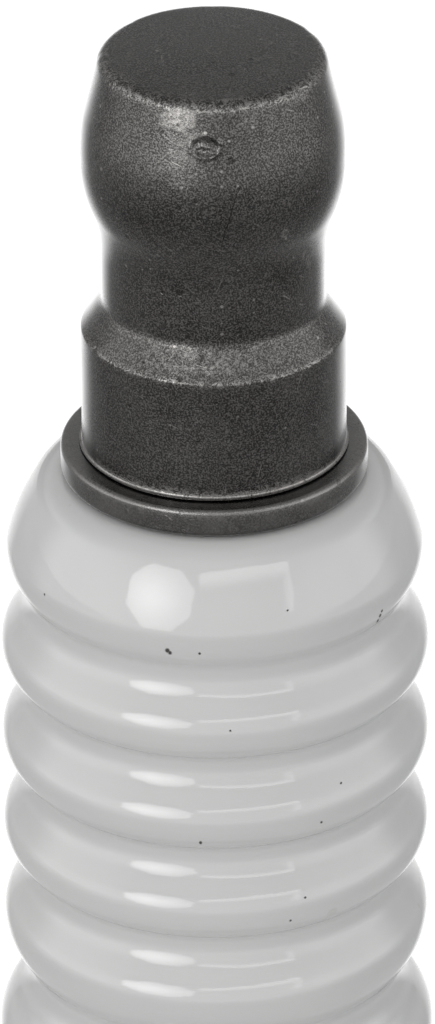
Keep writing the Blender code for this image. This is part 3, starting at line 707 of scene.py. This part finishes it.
outline = [(0.0, STUD_TIP_FOOT), (STUD_TIP_R - 0.3, STUD_TIP_FOOT)]
for groove in range(4):
    land = STUD_TIP_FOOT + 0.3 + 0.9 * groove
    outline += [(STUD_TIP_R, land), (STUD_TIP_R, land + 0.3)]
    outline += [(STUD_TIP_R - 0.22, land + 0.5), (STUD_TIP_R - 0.22, land + 0.7)]
outline += [(STUD_TIP_R, SHANK_FOOT - 0.3), (SHANK_R, SHANK_FOOT), (SHANK_R, COLLAR_FOOT)]
outline += arc((COLLAR_R - 0.22, COLLAR_FOOT + 0.22), 0.22, -90.0, 0.0, 6)
outline += arc((COLLAR_R - 0.13, COLLAR_TOP - 0.13), 0.13, 0.0, 90.0, 6)
outline += [(POST_CORE_R - 0.2, COLLAR_TOP)]
outline += [(POST_CORE_R - 0.2, POST_TOP - 1.0), (0.0, POST_TOP - 1.0)]
stud_mesh = turned(outline, STUD_SEGMENTS, 0.25)
undulate(stud_mesh, 0.008, 2.0)
edge_layer = stud_mesh.verts.layers.float["edge"]
for vert in stud_mesh.verts:
    on_collar_top = abs(vert.co.z / MM - COLLAR_TOP) < 0.03
    if on_collar_top and hypot(vert.co.x, vert.co.y) > POST_R * MM:
        vert[edge_layer] = max(vert[edge_layer], 0.3)
post_mesh = threaded(POST_CORE_R, POST_R, POST_PITCH, COLLAR_TOP - 0.2, POST_TOP, POST_STEPS, 0.05)
bmesh.ops.holes_fill(post_mesh, edges=post_mesh.edges)
bmesh.ops.recalc_face_normals(post_mesh, faces=post_mesh.faces)
stud_steel = darkened_steel(
    "darkened_stud_steel",
    (0.065, 0.064, 0.062),
    (0.095, 0.093, 0.09),
    (0.2, 0.195, 0.19),
    0.07,
    0.25,
)
headed_stud = finished(joined(stud_mesh, post_mesh), "headed_stud", stud_steel)
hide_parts("terminal_stud")
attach(headed_stud, "plug_body")

# Insulator. Pressed and fired alumina, glazed outside above the shell and left unglazed on the
# nose. Four ribs lengthen the path that a spark would take down its outside to the shell.
CERAMIC_SEGMENTS = 224
CERAMIC_STEP = 0.45
DOME_R = 5.05
DOME_TOP_R = 3.696
DOME_SIDE = 39.8
DOME_ROUNDS = ((0.82, 57.0), (5.0, 18.0), (0.88, 15.0))
RIB_COUNT = 4
RIB_R = 5.2
RIB_PITCH = 2.5
FIRST_RIB = 37.2
VALLEY_R = 4.6
VALLEY_RISE = 1.4
CREST_SHARE = 0.68
RIB_ROUNDS = ((-0.92, -36.5), (25.5, 1.0), (0.85, 35.5))
LAST_VALLEY = 28.15
BODY_R = 5.35
BODY_TOP = 26.35
SHOULDER_R = 6.3
SHOULDER_TOP = 11.6
GLAZE_FOOT = 12.6
SHOULDER_FOOT = 6.0
LEG_R = 4.0
LEG_TOP = 4.3
LEG_FOOT = -3.0
NOSE_TOP_R = 2.95
NOSE_TOP = -4.1
NOSE_TIP_R = 2.15
CERAMIC_BORE_R = 2.2
CERAMIC_BORE_FOOT = 1.2
LOWER_BORE_R = 1.33
LOWER_BORE_TOP = 0.5


def swept(start, heading, rounds, steps):
    """Points along arcs that follow on from each other, each given as (radius, degrees down)."""
    points = [start]
    spot = Vector(start)
    for radius, turn in rounds:
        for step in range(steps):
            share = radians(turn / steps)
            middle = heading - 0.5 * share
            chord = 2.0 * radius * sin(0.5 * share)
            spot = spot + Vector((cos(middle), sin(middle))) * chord
            heading -= share
            points.append(tuple(spot))
    return points


PINHOLES = (
    (-1.15, 35.32, 0.075),
    (-1.09, 35.27, 0.06),
    (-0.37, 35.3, 0.04),
    (1.78, 36.33, 0.035),
    (4.62, 35.23, 0.06),
    (4.56, 35.12, 0.055),
    (4.67, 35.33, 0.05),
    (-4.79, 35.77, 0.04),
    (0.36, 33.13, 0.035),
    (3.26, 31.14, 0.04),
    (-0.37, 30.05, 0.045),
    (2.67, 30.2, 0.04),
    (2.23, 28.22, 0.04),
    (1.84, 27.66, 0.035),
)


def glazed_ceramic():
    """White glazed alumina with a faintly rippled gloss, a few pinholes and an unglazed nose."""
    material, tree, shader, position = new_material("glazed_alumina")
    cloud = noisy(tree, position, 4.0, 3.0)
    height_up = parted(tree, position)["Z"]
    glaze_line = times_plus(tree, cloud, 0.4 * MM, height_up)
    bare = graded(tree, glaze_line, GLAZE_FOOT * MM, (GLAZE_FOOT + 0.3) * MM, 1.0, 0.0)
    colour = blended(tree, graded(tree, cloud, 0.3, 0.7), (0.7, 0.705, 0.7), (0.725, 0.725, 0.72))
    colour = blended(tree, bare, colour, (0.78, 0.765, 0.73))
    holes = 0.0
    place = use(tree, unrolled, Position=position)
    for across, along, radius in PINHOLES:
        one = use(tree, spot, Place=place, Across=across, Along=along, Radius=radius)
        holes = larger(tree, one, holes)
    dust = use(tree, specks, Position=position, Size=0.7, Share=0.05)
    colour = blended(tree, times(tree, dust, 0.25), colour, (0.5, 0.48, 0.45))
    colour = blended(tree, holes, colour, (0.05, 0.045, 0.04))
    ripple = noisy(tree, position, 1.4, 1.0)
    peel = noisy(tree, position, 0.32, 1.0)
    roughness = times_plus(tree, cloud, 0.03, 0.045)
    roughness = larger(tree, roughness, times(tree, bare, 0.55))
    roughness = larger(tree, roughness, times(tree, holes, 0.6))
    height = times_plus(tree, peel, 0.12, ripple)
    height = times_plus(tree, holes, -2.0, height)
    chalky = times(tree, bare, noisy(tree, position, 0.08))
    height = times_plus(tree, chalky, 1.5, height)
    set_surface(tree, shader, colour, roughness, height, 0.012)
    return material


ceramic_low, ceramic_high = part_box("insulator")
ceramic_top = ceramic_high.z / MM
nose_end = ceramic_low.z / MM
outline = [(CERAMIC_BORE_R, ceramic_top)]
outline += swept((DOME_TOP_R, ceramic_top), 0.0, DOME_ROUNDS, 14)
outline[-1] = (DOME_R, DOME_SIDE)
above = (DOME_R, DOME_SIDE)
for rib in range(RIB_COUNT):
    crest = (RIB_R, FIRST_RIB - RIB_PITCH * rib)
    valley = (VALLEY_R, crest[1] + VALLEY_RISE)
    outline += ogee(above, valley, CREST_SHARE, 10)[1:]
    outline += swept(valley, radians(-90.0), RIB_ROUNDS, 9)[1:-1] + [crest]
    above = crest
outline += ogee(above, (VALLEY_R, LAST_VALLEY), CREST_SHARE, 10)[1:]
outline += ogee((VALLEY_R, LAST_VALLEY), (BODY_R, BODY_TOP), 0.4, 10)[1:]
outline += ogee((BODY_R, SHOULDER_TOP + 0.9), (SHOULDER_R, SHOULDER_TOP - 0.1), 0.5, 6)
outline += [(SHOULDER_R, SHOULDER_FOOT + 0.2), (SHOULDER_R - 0.15, SHOULDER_FOOT)]
outline += [(LEG_R + 0.1, LEG_TOP + 0.1), (LEG_R, LEG_TOP - 0.1), (LEG_R, LEG_FOOT)]
outline += [(NOSE_TOP_R, NOSE_TOP), (NOSE_TIP_R, nose_end + 0.35)]
outline += arc((NOSE_TIP_R - 0.35, nose_end + 0.35), 0.35, 0.0, -90.0, 6)
outline += [(LOWER_BORE_R + 0.1, nose_end), (LOWER_BORE_R, nose_end + 0.1)]
outline += [(LOWER_BORE_R, LOWER_BORE_TOP), (CERAMIC_BORE_R, CERAMIC_BORE_FOOT)]
ceramic_mesh = turned(outline, CERAMIC_SEGMENTS, CERAMIC_STEP)
glazed_insulator = finished(ceramic_mesh, "glazed_insulator", glazed_ceramic(), 50.0)
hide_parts("insulator")
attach(glazed_insulator, "plug_body")

# Inside the insulator. Conductive glass fused above and below a resistor rod locks the stud and
# the centre electrode into the bore. All of it is sealed in, and shows only in a cut plug.


def plain_body(name, first, second, size, roughness, metallic, relief):
    """A material in two tones of one colour, mottled and grained at the given size in mm."""
    material, tree, shader, position = new_material(name, metallic)
    mottle = graded(tree, noisy(tree, position, size, 4.0), 0.35, 0.65)
    grain = noisy(tree, position, 0.2 * size, 2.0)
    rough = times_plus(tree, grain, 0.15, roughness)
    set_surface(tree, shader, blended(tree, mottle, first, second), rough, grain, relief)
    return material


def refinish(node, material):
    """Give a CAD node its finish."""
    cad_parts[node].data.materials.clear()
    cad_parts[node].data.materials.append(material)


seal_glass = plain_body("sealing_glass", (0.1, 0.07, 0.05), (0.2, 0.14, 0.1), 0.5, 0.2, 0.2, 0.01)
resistor_body = plain_body(
    "resistor_body", (0.06, 0.06, 0.065), (0.15, 0.15, 0.15), 0.3, 0.7, 0.0, 0.02
)
refinish("upper_glass_seal", seal_glass)
refinish("lower_glass_seal", seal_glass)
refinish("resistor", resistor_body)

# Centre electrode. A nickel alloy pin pressed round a copper core that carries its heat away;
# its conical head rests in the insulator and its flat tip stands out of the nose.
ELECTRODE_R = 1.25
ELECTRODE_HEAD_R = 2.1
ELECTRODE_HEAD_TOP = 3.0
CORE_HOLE_R = 0.67
CORE_HOLE_FOOT = -16.55
BRIGHTENED = 1.45


def bright_metal(name, deep, pale, gloss, mark_spacing, relief):
    """A bright turned or rolled metal: two tones, tool marks, hairlines and brighter edges."""
    material, tree, shader, position = new_material(name, 1.0)
    edge = edge_layer_of(tree)
    cloud = graded(tree, noisy(tree, position, 2.2, 4.0), 0.3, 0.7)
    grain = noisy(tree, position, 0.09, 2.0)
    rings = use(tree, turning_marks, Position=position, Spacing=mark_spacing)
    place = use(tree, unrolled, Position=position)
    scratches = use(tree, hairlines, Place=place, Length=1.2, Width=0.03, Lean=0.6, Share=0.2)
    wear = use(tree, worn_edges, Position=position, Edge=edge, Reach=0.7)
    bright = tuple(BRIGHTENED * part for part in pale)
    colour = blended(tree, cloud, deep, pale)
    colour = overlaid(tree, colour, ((scratches, 0.4, bright), (wear, 0.7, bright)))
    roughness = times_plus(tree, cloud, 0.1, gloss)
    roughness = times_plus(tree, grain, 0.1, roughness)
    height = times_plus(tree, rings, 0.9, grain)
    height = times_plus(tree, scratches, -0.5, height)
    set_surface(tree, shader, colour, roughness, height, relief)
    return material


electrode_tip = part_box("center_electrode")[0].z / MM
outline = [(0.0, electrode_tip)]
outline += arc((ELECTRODE_R - 0.08, electrode_tip + 0.08), 0.08, -90.0, 0.0, 5)
outline += [(ELECTRODE_R, 0.6), (ELECTRODE_HEAD_R, 1.3)]
outline += arc((ELECTRODE_HEAD_R - 0.2, ELECTRODE_HEAD_TOP - 0.2), 0.2, 0.0, 90.0, 4)
outline += [(CORE_HOLE_R, ELECTRODE_HEAD_TOP), (CORE_HOLE_R, CORE_HOLE_FOOT)]
outline += [(0.0, CORE_HOLE_FOOT)]
nickel_alloy = bright_metal(
    "nickel_alloy", (0.29, 0.28, 0.26), (0.39, 0.375, 0.355), 0.26, 0.06, 0.004
)
copper = bright_metal("copper", (0.6, 0.28, 0.16), (0.78, 0.4, 0.25), 0.25, 0.1, 0.003)
centre_pin = finished(turned(outline, 96, 0.3), "centre_pin", nickel_alloy)
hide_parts("center_electrode")
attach(centre_pin, "plug_body")
refinish("center_electrode_core", copper)

# Shell. Turned from hexagonal steel bar and plated: thread, seat collar, wrench hexagon and the
# thin lip that is rolled over the insulator's shoulder. The hexagon's corners are broken.
SHELL_SEGMENTS = 192
SHELL_STEP = 0.5
SEAT = 2.0
COLLAR_FLANGE_R = 8.5
COLLAR_FLANGE_TOP = 5.6
GROOVE_R = 7.3
HEX_FOOT = 6.8
HEX_TOP = 14.6
HEX_HALF = 9.0
HEX_CHAMFER_R = 8.9
HEX_CORNER_ROUND = 0.35
HEX_END_ROUND = 0.09
CROWDING = 0.13
BARREL_R = 8.2
ROLL_BEND = 16.6
ROLL_TOP = 17.8
ROLL_LIP_R = 5.6
CHAMBER_R = 6.5
CHAMBER_FOOT = 5.9
SHELL_BORE_R = 4.15
LEDGE_R = 3.25
LEDGE_FOOT = -6.5
LEDGE_TOP = -4.3
MOUTH_R = 3.9
UNDERCUT_R = 5.0
THREAD_TOP = -0.9
THREAD_R = 5.98
THREAD_CORE_R = 5.23
THREAD_PITCH = 1.25


def hexagon_reach(turn):
    """The hexagon's distance from the axis in a direction, with its corners broken."""
    from_flat = (turn + radians(120.0)) % radians(60.0) - radians(30.0)
    from_corner = radians(30.0) - abs(from_flat)
    hub = (HEX_HALF - HEX_CORNER_ROUND) / cos(radians(30.0))
    inside = HEX_CORNER_ROUND**2 - (hub * sin(from_corner)) ** 2
    flat = HEX_HALF / cos(from_flat)
    if inside <= 0.0:
        return flat
    return min(flat, hub * cos(from_corner) + sqrt(inside))


def crowded(turn):
    """Turn a column of the mesh nearer to its corner of the hexagon."""
    return turn - CROWDING * sin(6.0 * turn)


shell_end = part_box("shell")[0].z / MM
chamfer_slope = tan(radians(30.0))
bar_r = HEX_HALF / cos(radians(30.0)) + 0.1
bar_drop = (bar_r - HEX_CHAMFER_R) * chamfer_slope
outline = [(SHELL_BORE_R, THREAD_TOP), (UNDERCUT_R, THREAD_TOP), (UNDERCUT_R, SEAT - 0.15)]
outline += [(UNDERCUT_R + 0.15, SEAT), (COLLAR_FLANGE_R - 0.2, SEAT)]
outline += arc((COLLAR_FLANGE_R - 0.2, SEAT + 0.2), 0.2, -60.0, 0.0, 3)
outline += arc((COLLAR_FLANGE_R - 0.25, COLLAR_FLANGE_TOP - 0.25), 0.25, 0.0, 90.0, 4)
outline += [(GROOVE_R + 0.3, COLLAR_FLANGE_TOP), (GROOVE_R, COLLAR_FLANGE_TOP + 0.3)]
outline += [(GROOVE_R, HEX_FOOT - 0.2), (GROOVE_R + 0.2, HEX_FOOT), (HEX_CHAMFER_R, HEX_FOOT)]
outline += [(bar_r, HEX_FOOT + bar_drop), (bar_r, HEX_TOP - bar_drop), (HEX_CHAMFER_R, HEX_TOP)]
outline += [(BARREL_R + 0.15, HEX_TOP), (BARREL_R, HEX_TOP + 0.15)]
roll = ROLL_TOP - ROLL_BEND
outline += arc((BARREL_R - roll, ROLL_BEND), roll, 0.0, 84.0, 10)
outline += [(ROLL_LIP_R + 0.5, ROLL_TOP - 0.1)]
outline += arc((ROLL_LIP_R + 0.35, ROLL_TOP - 0.45), 0.35, 90.0, 180.0, 5)
outline += [(ROLL_LIP_R, ROLL_BEND + 0.55), (CHAMBER_R, ROLL_BEND + 0.15)]
outline += [(CHAMBER_R, CHAMBER_FOOT), (SHELL_BORE_R, 4.0)]
shell_mesh = turned(outline, SHELL_SEGMENTS, SHELL_STEP)
for vert in shell_mesh.verts:
    turn = crowded(atan2(vert.co.y, vert.co.x))
    radius = hypot(vert.co.x, vert.co.y) / MM
    height = vert.co.z / MM
    if HEX_FOOT - 0.001 <= height <= HEX_TOP + 0.001 and radius > HEX_CHAMFER_R - 0.01:
        reach = hexagon_reach(turn)
        share = (radius - HEX_CHAMFER_R) / (bar_r - HEX_CHAMFER_R)
        radius = HEX_CHAMFER_R + (reach - HEX_CHAMFER_R) * share
        end_drop = (reach - HEX_CHAMFER_R) * chamfer_slope
        middle = 0.5 * (HEX_FOOT + HEX_TOP)
        half = 0.5 * (HEX_TOP - HEX_FOOT)
        if share > 0.999:
            height = middle + (height - middle) * (half - end_drop) / (half - bar_drop)
        else:
            height = middle + copysign(half - end_drop * share, height - middle)
    vert.co = round_axis(turn, radius, height)
hexagon_ends = []
for edge in shell_mesh.edges:
    reach = min(hypot(vert.co.x, vert.co.y) for vert in edge.verts) / MM
    level = all(len(vert.link_edges) == 4 for vert in edge.verts)
    if reach > HEX_CHAMFER_R + 0.05 and level:
        sharp = edge.calc_face_angle_signed() > radians(12.0)
        if sharp and abs(edge.verts[0].co.z - edge.verts[1].co.z) < 0.3 * MM:
            hexagon_ends.append(edge)
bevelled(shell_mesh, hexagon_ends, HEX_END_ROUND, 3)

thread_mesh = threaded(THREAD_CORE_R, THREAD_R, THREAD_PITCH, shell_end, THREAD_TOP, 144, 0.05)


def open_rim(bm, height):
    """The edges of a mesh's open end at a height in millimetres."""
    return [
        edge
        for edge in bm.edges
        if edge.is_boundary and abs(edge.verts[0].co.z / MM - height) < 0.01
    ]


def bored(bm, rim, stops):
    """Draw an open rim through (radius, height) stops round the axis, down a bore."""
    for radius, height in stops:
        grown = bmesh.ops.extrude_edge_only(bm, edges=rim)["geom"]
        for vert in (item for item in grown if isinstance(item, bmesh.types.BMVert)):
            vert.co = round_axis(atan2(vert.co.y, vert.co.x), radius, height)
        rim = [item for item in grown if isinstance(item, bmesh.types.BMEdge) and item.is_boundary]
    return rim


thread_rim = open_rim(thread_mesh, THREAD_TOP)
mouth = [(MOUTH_R + 0.2, shell_end), (MOUTH_R, shell_end + 0.2), (MOUTH_R, LEDGE_FOOT - 0.8)]
mouth += [(LEDGE_R, LEDGE_FOOT), (LEDGE_R, LEDGE_TOP), (SHELL_BORE_R, LEDGE_TOP + 1.0)]
mouth += [(SHELL_BORE_R, THREAD_TOP)]
bore_rim = bored(thread_mesh, open_rim(thread_mesh, shell_end), mouth)
bmesh.ops.bridge_loops(thread_mesh, edges=thread_rim + bore_rim)
bmesh.ops.recalc_face_normals(thread_mesh, faces=thread_mesh.faces)
plated_steel = bright_metal(
    "plated_steel", (0.31, 0.31, 0.305), (0.37, 0.37, 0.36), 0.22, 0.11, 0.006
)
plated_shell = finished(joined(shell_mesh, thread_mesh), "plated_shell", plated_steel, 32.0)
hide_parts("shell")
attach(plated_shell, "plug_body")

# Packings. Two rings of soft wire with pressed talc between them fill the space under the rolled
# lip, and a thin washer seals the insulator's cone on the shell's ledge.
packing_steel = plain_body(
    "packing_steel", (0.32, 0.31, 0.3), (0.5, 0.49, 0.47), 0.6, 0.35, 1.0, 0.004
)
talc = plain_body("talc", (0.72, 0.71, 0.67), (0.85, 0.84, 0.8), 0.25, 0.85, 0.0, 0.03)
for packing in ("upper_packing_ring", "lower_packing_ring", "seat_packing"):
    refinish(packing, packing_steel)
refinish("talc_filling", talc)

# Gasket. One strip of thin plated steel folded over into a hollow ring, loose on the shell until
# the plug is tightened, when it crushes against the cylinder head.
GASKET_OUTER_R = 8.2
GASKET_INNER_R = 5.5
GASKET_SHEET = 0.35
GASKET_BREAK = 0.08

gasket_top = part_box("gasket")[1].z / MM
fold = 0.5 * gasket_top
outline = [(GASKET_INNER_R + GASKET_BREAK, 0.0)]
outline += arc((GASKET_OUTER_R - fold, fold), fold, -90.0, 90.0, 16)
outline += [(GASKET_INNER_R + GASKET_BREAK, gasket_top)]
outline += [(GASKET_INNER_R, gasket_top - part) for part in (GASKET_BREAK, GASKET_SHEET)]
outline += arc((GASKET_OUTER_R - fold, fold), fold - GASKET_SHEET, 90.0, -90.0, 12)
outline += [(GASKET_INNER_R, GASKET_SHEET), (GASKET_INNER_R, GASKET_BREAK)]
gasket_mesh = turned(outline, 160, 0.3)
undulate(gasket_mesh, 0.02, 3.0)
gasket_steel = bright_metal(
    "gasket_steel", (0.25, 0.245, 0.235), (0.32, 0.31, 0.3), 0.3, 0.16, 0.006
)
folded_gasket = finished(gasket_mesh, "folded_gasket", gasket_steel)
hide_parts("gasket")
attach(folded_gasket, "gasket")

# Ground electrode. A flat nickel alloy strap, resistance welded to the shell's end face, which
# upsets its foot a little, and then bent over so that its end stands under the centre pin.
STRAP_WIDTH = 2.6
STRAP_THICK = 1.3
STRAP_EDGE = 0.25
STRAP_END_ROUND = 0.08
WELD_UPSET = 0.16
WELD_HEIGHT = 0.22
STRAP_CENTRE = 4.58
STRAP_BEND_R = 1.9
STRAP_REACH = -1.3
SPARK_GAP = 0.9
BEND_STEPS = 18


def pushed(bm, faces, offset):
    """Extrude flat faces along an offset in millimetres, and give back those at the far end."""
    grown = bmesh.ops.extrude_face_region(bm, geom=faces)["geom"]
    verts = [item for item in grown if isinstance(item, bmesh.types.BMVert)]
    bmesh.ops.translate(bm, verts=verts, vec=Vector(offset) * MM)
    return [item for item in grown if isinstance(item, bmesh.types.BMFace)]


strap_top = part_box("ground_electrode")[1].z / MM
bend_height = electrode_tip - SPARK_GAP - 0.5 * STRAP_THICK + STRAP_BEND_R
bend_x = STRAP_CENTRE - STRAP_BEND_R
strap_mesh = bmesh.new()
section = bmesh.ops.create_grid(strap_mesh, x_segments=4, y_segments=6, size=0.5)["verts"]
bmesh.ops.scale(strap_mesh, verts=section, vec=(STRAP_THICK * MM, STRAP_WIDTH * MM, 1.0))
bmesh.ops.translate(strap_mesh, verts=section, vec=(STRAP_CENTRE * MM, 0.0, strap_top * MM))
corners = [vert for vert in section if len(vert.link_edges) == 2]
bevelled(strap_mesh, corners, STRAP_EDGE, 4, "VERTICES")
strap_end = strap_mesh.faces[:]
straight = bend_height - strap_top
for part in (0.08, 0.08, 0.1, 0.14, 0.2, 0.2, 0.2):
    strap_end = pushed(strap_mesh, strap_end, (0.0, 0.0, part * straight))
bent = bmesh.ops.spin(
    strap_mesh,
    geom=strap_end,
    cent=(bend_x * MM, 0.0, bend_height * MM),
    axis=(0.0, 1.0, 0.0),
    angle=0.5 * pi,
    steps=BEND_STEPS,
)["geom_last"]
strap_end = [item for item in bent if isinstance(item, bmesh.types.BMFace)]
for part in range(8):
    strap_end = pushed(strap_mesh, strap_end, ((STRAP_REACH - bend_x) / 8.0, 0.0, 0.0))
bmesh.ops.remove_doubles(strap_mesh, verts=strap_mesh.verts, dist=SEAM)
within = [face for face in strap_mesh.faces if all(len(edge.link_faces) > 2 for edge in face.edges)]
bmesh.ops.delete(strap_mesh, geom=within, context="FACES")
loose = [edge for edge in strap_mesh.edges if not edge.link_faces]
bmesh.ops.delete(strap_mesh, geom=loose, context="EDGES")
bmesh.ops.recalc_face_normals(strap_mesh, faces=strap_mesh.faces)
for vert in strap_mesh.verts:
    below_weld = strap_top - vert.co.z / MM
    if below_weld < 1.0:
        uneven = 1.0 + 0.6 * noise.noise(vert.co / (0.4 * MM))
        flare = 1.0 + WELD_UPSET * exp(-((below_weld / WELD_HEIGHT) ** 2)) * uneven
        vert.co.x = STRAP_CENTRE * MM + (vert.co.x - STRAP_CENTRE * MM) * flare
        vert.co.y *= flare
undulate(strap_mesh, 0.012, 1.2)
cut_end = [
    edge
    for edge in strap_mesh.edges
    if edge.calc_face_angle(0.0) > radians(60.0)
    and all(vert.co.x / MM < STRAP_REACH + 0.1 for vert in edge.verts)
]
bevelled(strap_mesh, cut_end, STRAP_END_ROUND, 2)
edge_layer = strap_mesh.verts.layers.float.new("edge")
for vert in strap_mesh.verts:
    sharpest = max((abs(edge.calc_face_angle(0.0)) for edge in vert.link_edges), default=0.0)
    vert[edge_layer] = min(sharpest / radians(40.0), 1.0)
ground_strap = finished(strap_mesh, "ground_strap", nickel_alloy)
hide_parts("ground_electrode")
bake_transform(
    ground_strap,
    "plug_body",
    "ground_electrode",
    start=(STRAP_CENTRE * MM, 0.0, strap_top * MM),
    end=(STRAP_CENTRE * MM, 0.0, (strap_top - 1.2) * MM),
)

# Studio. A pale floor under the plug, an eight-sided softbox to the left, a weaker rectangular
# one to the right, and white walls all round.
FLOOR_HALF = 2.5
FLOOR_SEEN = 0.8
FLOOR_BOUNCE = 0.22
KEY_SIDE = (-0.26, -0.75, 0.12)
ROOM_LEVEL = 0.34
ROOM_LEAST = 0.44
VIEW_HEIGHT = 40.6
LIGHT_DISTANCE = 0.6

floor_material, ground, paper, on_floor = new_material("pale_floor")
fibres = noisy(ground, on_floor, 2.0, 3.0)
floor_colour = blended(ground, fibres, (0.42, 0.42, 0.42), (0.44, 0.44, 0.44))
ground.links.new(floor_colour, paper.inputs["Base Color"])
paper.inputs["Roughness"].default_value = 0.9
paper.inputs["Emission Color"].default_value = (1.0, 1.0, 1.0, 1.0)
ray_kind = ground.nodes.new("ShaderNodeLightPath").outputs
spread = measured(ground, "LENGTH", on_floor)
behind = calculate(ground, "DIVIDE", parted(ground, on_floor)["Y"], spread)
far_floor = graded(ground, behind, 0.15, 0.5, 1.5, 0.5)
near_floor = graded(ground, spread, 0.05, 0.1, 0.5, 0.3)
backdrop = mixed(ground, graded(ground, spread, 0.1, 0.5), near_floor, far_floor)
white_back = graded(ground, behind, 0.7, 0.92, 0.0, 1.1)
backdrop = larger(ground, backdrop, white_back)
floor_glow = times(ground, ray_kind["Is Glossy Ray"], backdrop)
floor_glow = times_plus(ground, ray_kind["Is Camera Ray"], FLOOR_SEEN, floor_glow)
floor_glow = times_plus(ground, ray_kind["Is Diffuse Ray"], FLOOR_BOUNCE, floor_glow)
ground.links.new(floor_glow, paper.inputs["Emission Strength"])
floor_mesh = bmesh.new()
bmesh.ops.create_grid(floor_mesh, x_segments=1, y_segments=1, size=FLOOR_HALF)
bmesh.ops.translate(floor_mesh, verts=floor_mesh.verts, vec=(0.0, 0.0, cad_low.z - 0.02 * MM))
finished(floor_mesh, "floor", floor_material)

world = bpy.data.worlds.new("white_studio")
bpy.context.scene.world = world
world.use_nodes = True
room = world.node_tree
room.nodes.clear()
ray = room.nodes.new("ShaderNodeLightPath").outputs
direction = room.nodes.new("ShaderNodeTexCoord").outputs["Generated"]
key_side = measured(room, "DOT_PRODUCT", direction, KEY_SIDE)
soft = larger(room, calculate(room, "ADD", key_side, ROOM_LEVEL), ROOM_LEAST)
toward = parted(room, direction)
# What gloss mirrors: dimmer overhead and high up behind, bright walls at both sides.
high_behind = times_plus(room, toward["Z"], 1.5, toward["Y"])
mirrored = graded(room, high_behind, 0.45, 1.4, 1.0, 0.56)
mirrored = times(room, mirrored, graded(room, toward["Z"], 0.25, 0.65, 1.0, 0.68))
sides = graded(room, calculate(room, "ABSOLUTE", toward["X"]), 0.45, 0.95, 1.75, 2.9)
gap = graded(room, toward["Y"], 0.1, 0.5, 1.0, 0.35)
gap = larger(room, gap, graded(room, toward["Z"], 0.1, 0.42))
mirrored = times(room, mirrored, times(room, sides, gap))
level = mixed(room, ray["Is Glossy Ray"], soft, mirrored)
level = mixed(room, ray["Is Camera Ray"], level, 1.0)
background = add(room, "ShaderNodeBackground", {"Strength": level})
background.inputs["Color"].default_value = (1.0, 1.0, 1.0, 1.0)
room.links.new(background.outputs[0], room.nodes.new("ShaderNodeOutputWorld").inputs["Surface"])


def direction_to(turn, rise):
    """The direction towards a place round the plug: turn to the right, and rise, in degrees."""
    turn = radians(turn)
    rise = radians(rise)
    level = cos(rise)
    return Vector((sin(turn) * level, -cos(turn) * level, sin(rise)))


def softbox(name, turn, rise, width, height, radiance, shape):
    """A light that the gloss mirrors, facing the plug; its width and height are in degrees.

    shape makes the brightness from the distances across and up from the softbox's middle.
    """
    light = bpy.data.lights.new(name, "AREA")
    light.shape = "RECTANGLE"
    light.size = 2.0 * LIGHT_DISTANCE * tan(radians(0.5 * width))
    light.size_y = 2.0 * LIGHT_DISTANCE * tan(radians(0.5 * height))
    light.energy = radiance * pi * light.size * light.size_y
    light.use_nodes = True
    tree = light.node_tree
    surface = tree.nodes.new("ShaderNodeNewGeometry").outputs["Parametric"]
    sides = parted(tree, surface)
    across = calculate(tree, "SUBTRACT", sides["X"], 0.5)
    upward = calculate(tree, "SUBTRACT", sides["Y"], 0.5)
    tree.links.new(shape(tree, across, upward), tree.nodes["Emission"].inputs["Strength"])
    lamp = bpy.data.objects.new(name, light)
    bpy.context.scene.collection.objects.link(lamp)
    away = direction_to(turn, rise)
    middle = Vector((0.0, 0.0, VIEW_HEIGHT * MM))
    facing = away.to_track_quat("Z", "Y").to_matrix().to_4x4()
    lamp.matrix_world = Matrix.Translation(middle + away * LIGHT_DISTANCE) @ facing
    lamp.visible_camera = False
    lamp.visible_diffuse = False


def eight_sided(tree, across, upward):
    """An octagon, brightest a little to the left of its middle."""
    wide = calculate(tree, "ABSOLUTE", across)
    tall = calculate(tree, "ABSOLUTE", upward)
    slant = times(tree, calculate(tree, "ADD", wide, tall), sqrt(0.5))
    inside = calculate(tree, "LESS_THAN", slant, 0.5)
    off = calculate(tree, "ADD", across, 0.12)
    away = measured(tree, "LENGTH", flat(tree, off, upward))
    return times(tree, inside, graded(tree, away, 0.0, 0.6, 1.25, 0.55))


def bright_bordered(tree, across, upward):
    """A rectangle that glows along its top and its right edge and is weak inside."""
    top = graded(tree, upward, 0.1, 0.4)
    right = graded(tree, across, 0.36, 0.46, 0.0, 0.6)
    return larger(tree, top, right)


softbox("left_softbox", -31.0, 17.0, 36.0, 36.0, 5.0, eight_sided)
softbox("right_softbox", 19.0, 22.0, 50.0, 30.0, 2.6, bright_bordered)

# Camera. A long lens, well above the plug and looking down at the terminal end.
CAMERA_RISE = 28.5
CAMERA_DISTANCE = 0.3
CAMERA_ROLL = -0.25
CAMERA_ASIDE = 0.073
LENS_MM = 434.8
SENSOR_MM = 36.0

lens = bpy.data.cameras.new("camera")
lens.sensor_width = SENSOR_MM
lens.lens = LENS_MM
lens.clip_start = 0.01
lens.clip_end = 10.0
camera = bpy.data.objects.new("camera", lens)
bpy.context.scene.collection.objects.link(camera)
back = direction_to(0.0, CAMERA_RISE)
aim = Vector((CAMERA_ASIDE, 0.0, VIEW_HEIGHT)) * MM
tilt = back.to_track_quat("Z", "Y").to_matrix().to_4x4()
tilt = tilt @ Matrix.Rotation(radians(CAMERA_ROLL), 4, "Z")
camera.matrix_world = Matrix.Translation(aim + back * CAMERA_DISTANCE) @ tilt
bpy.context.scene.camera = camera
bpy.context.scene.view_settings.view_transform = "Standard"
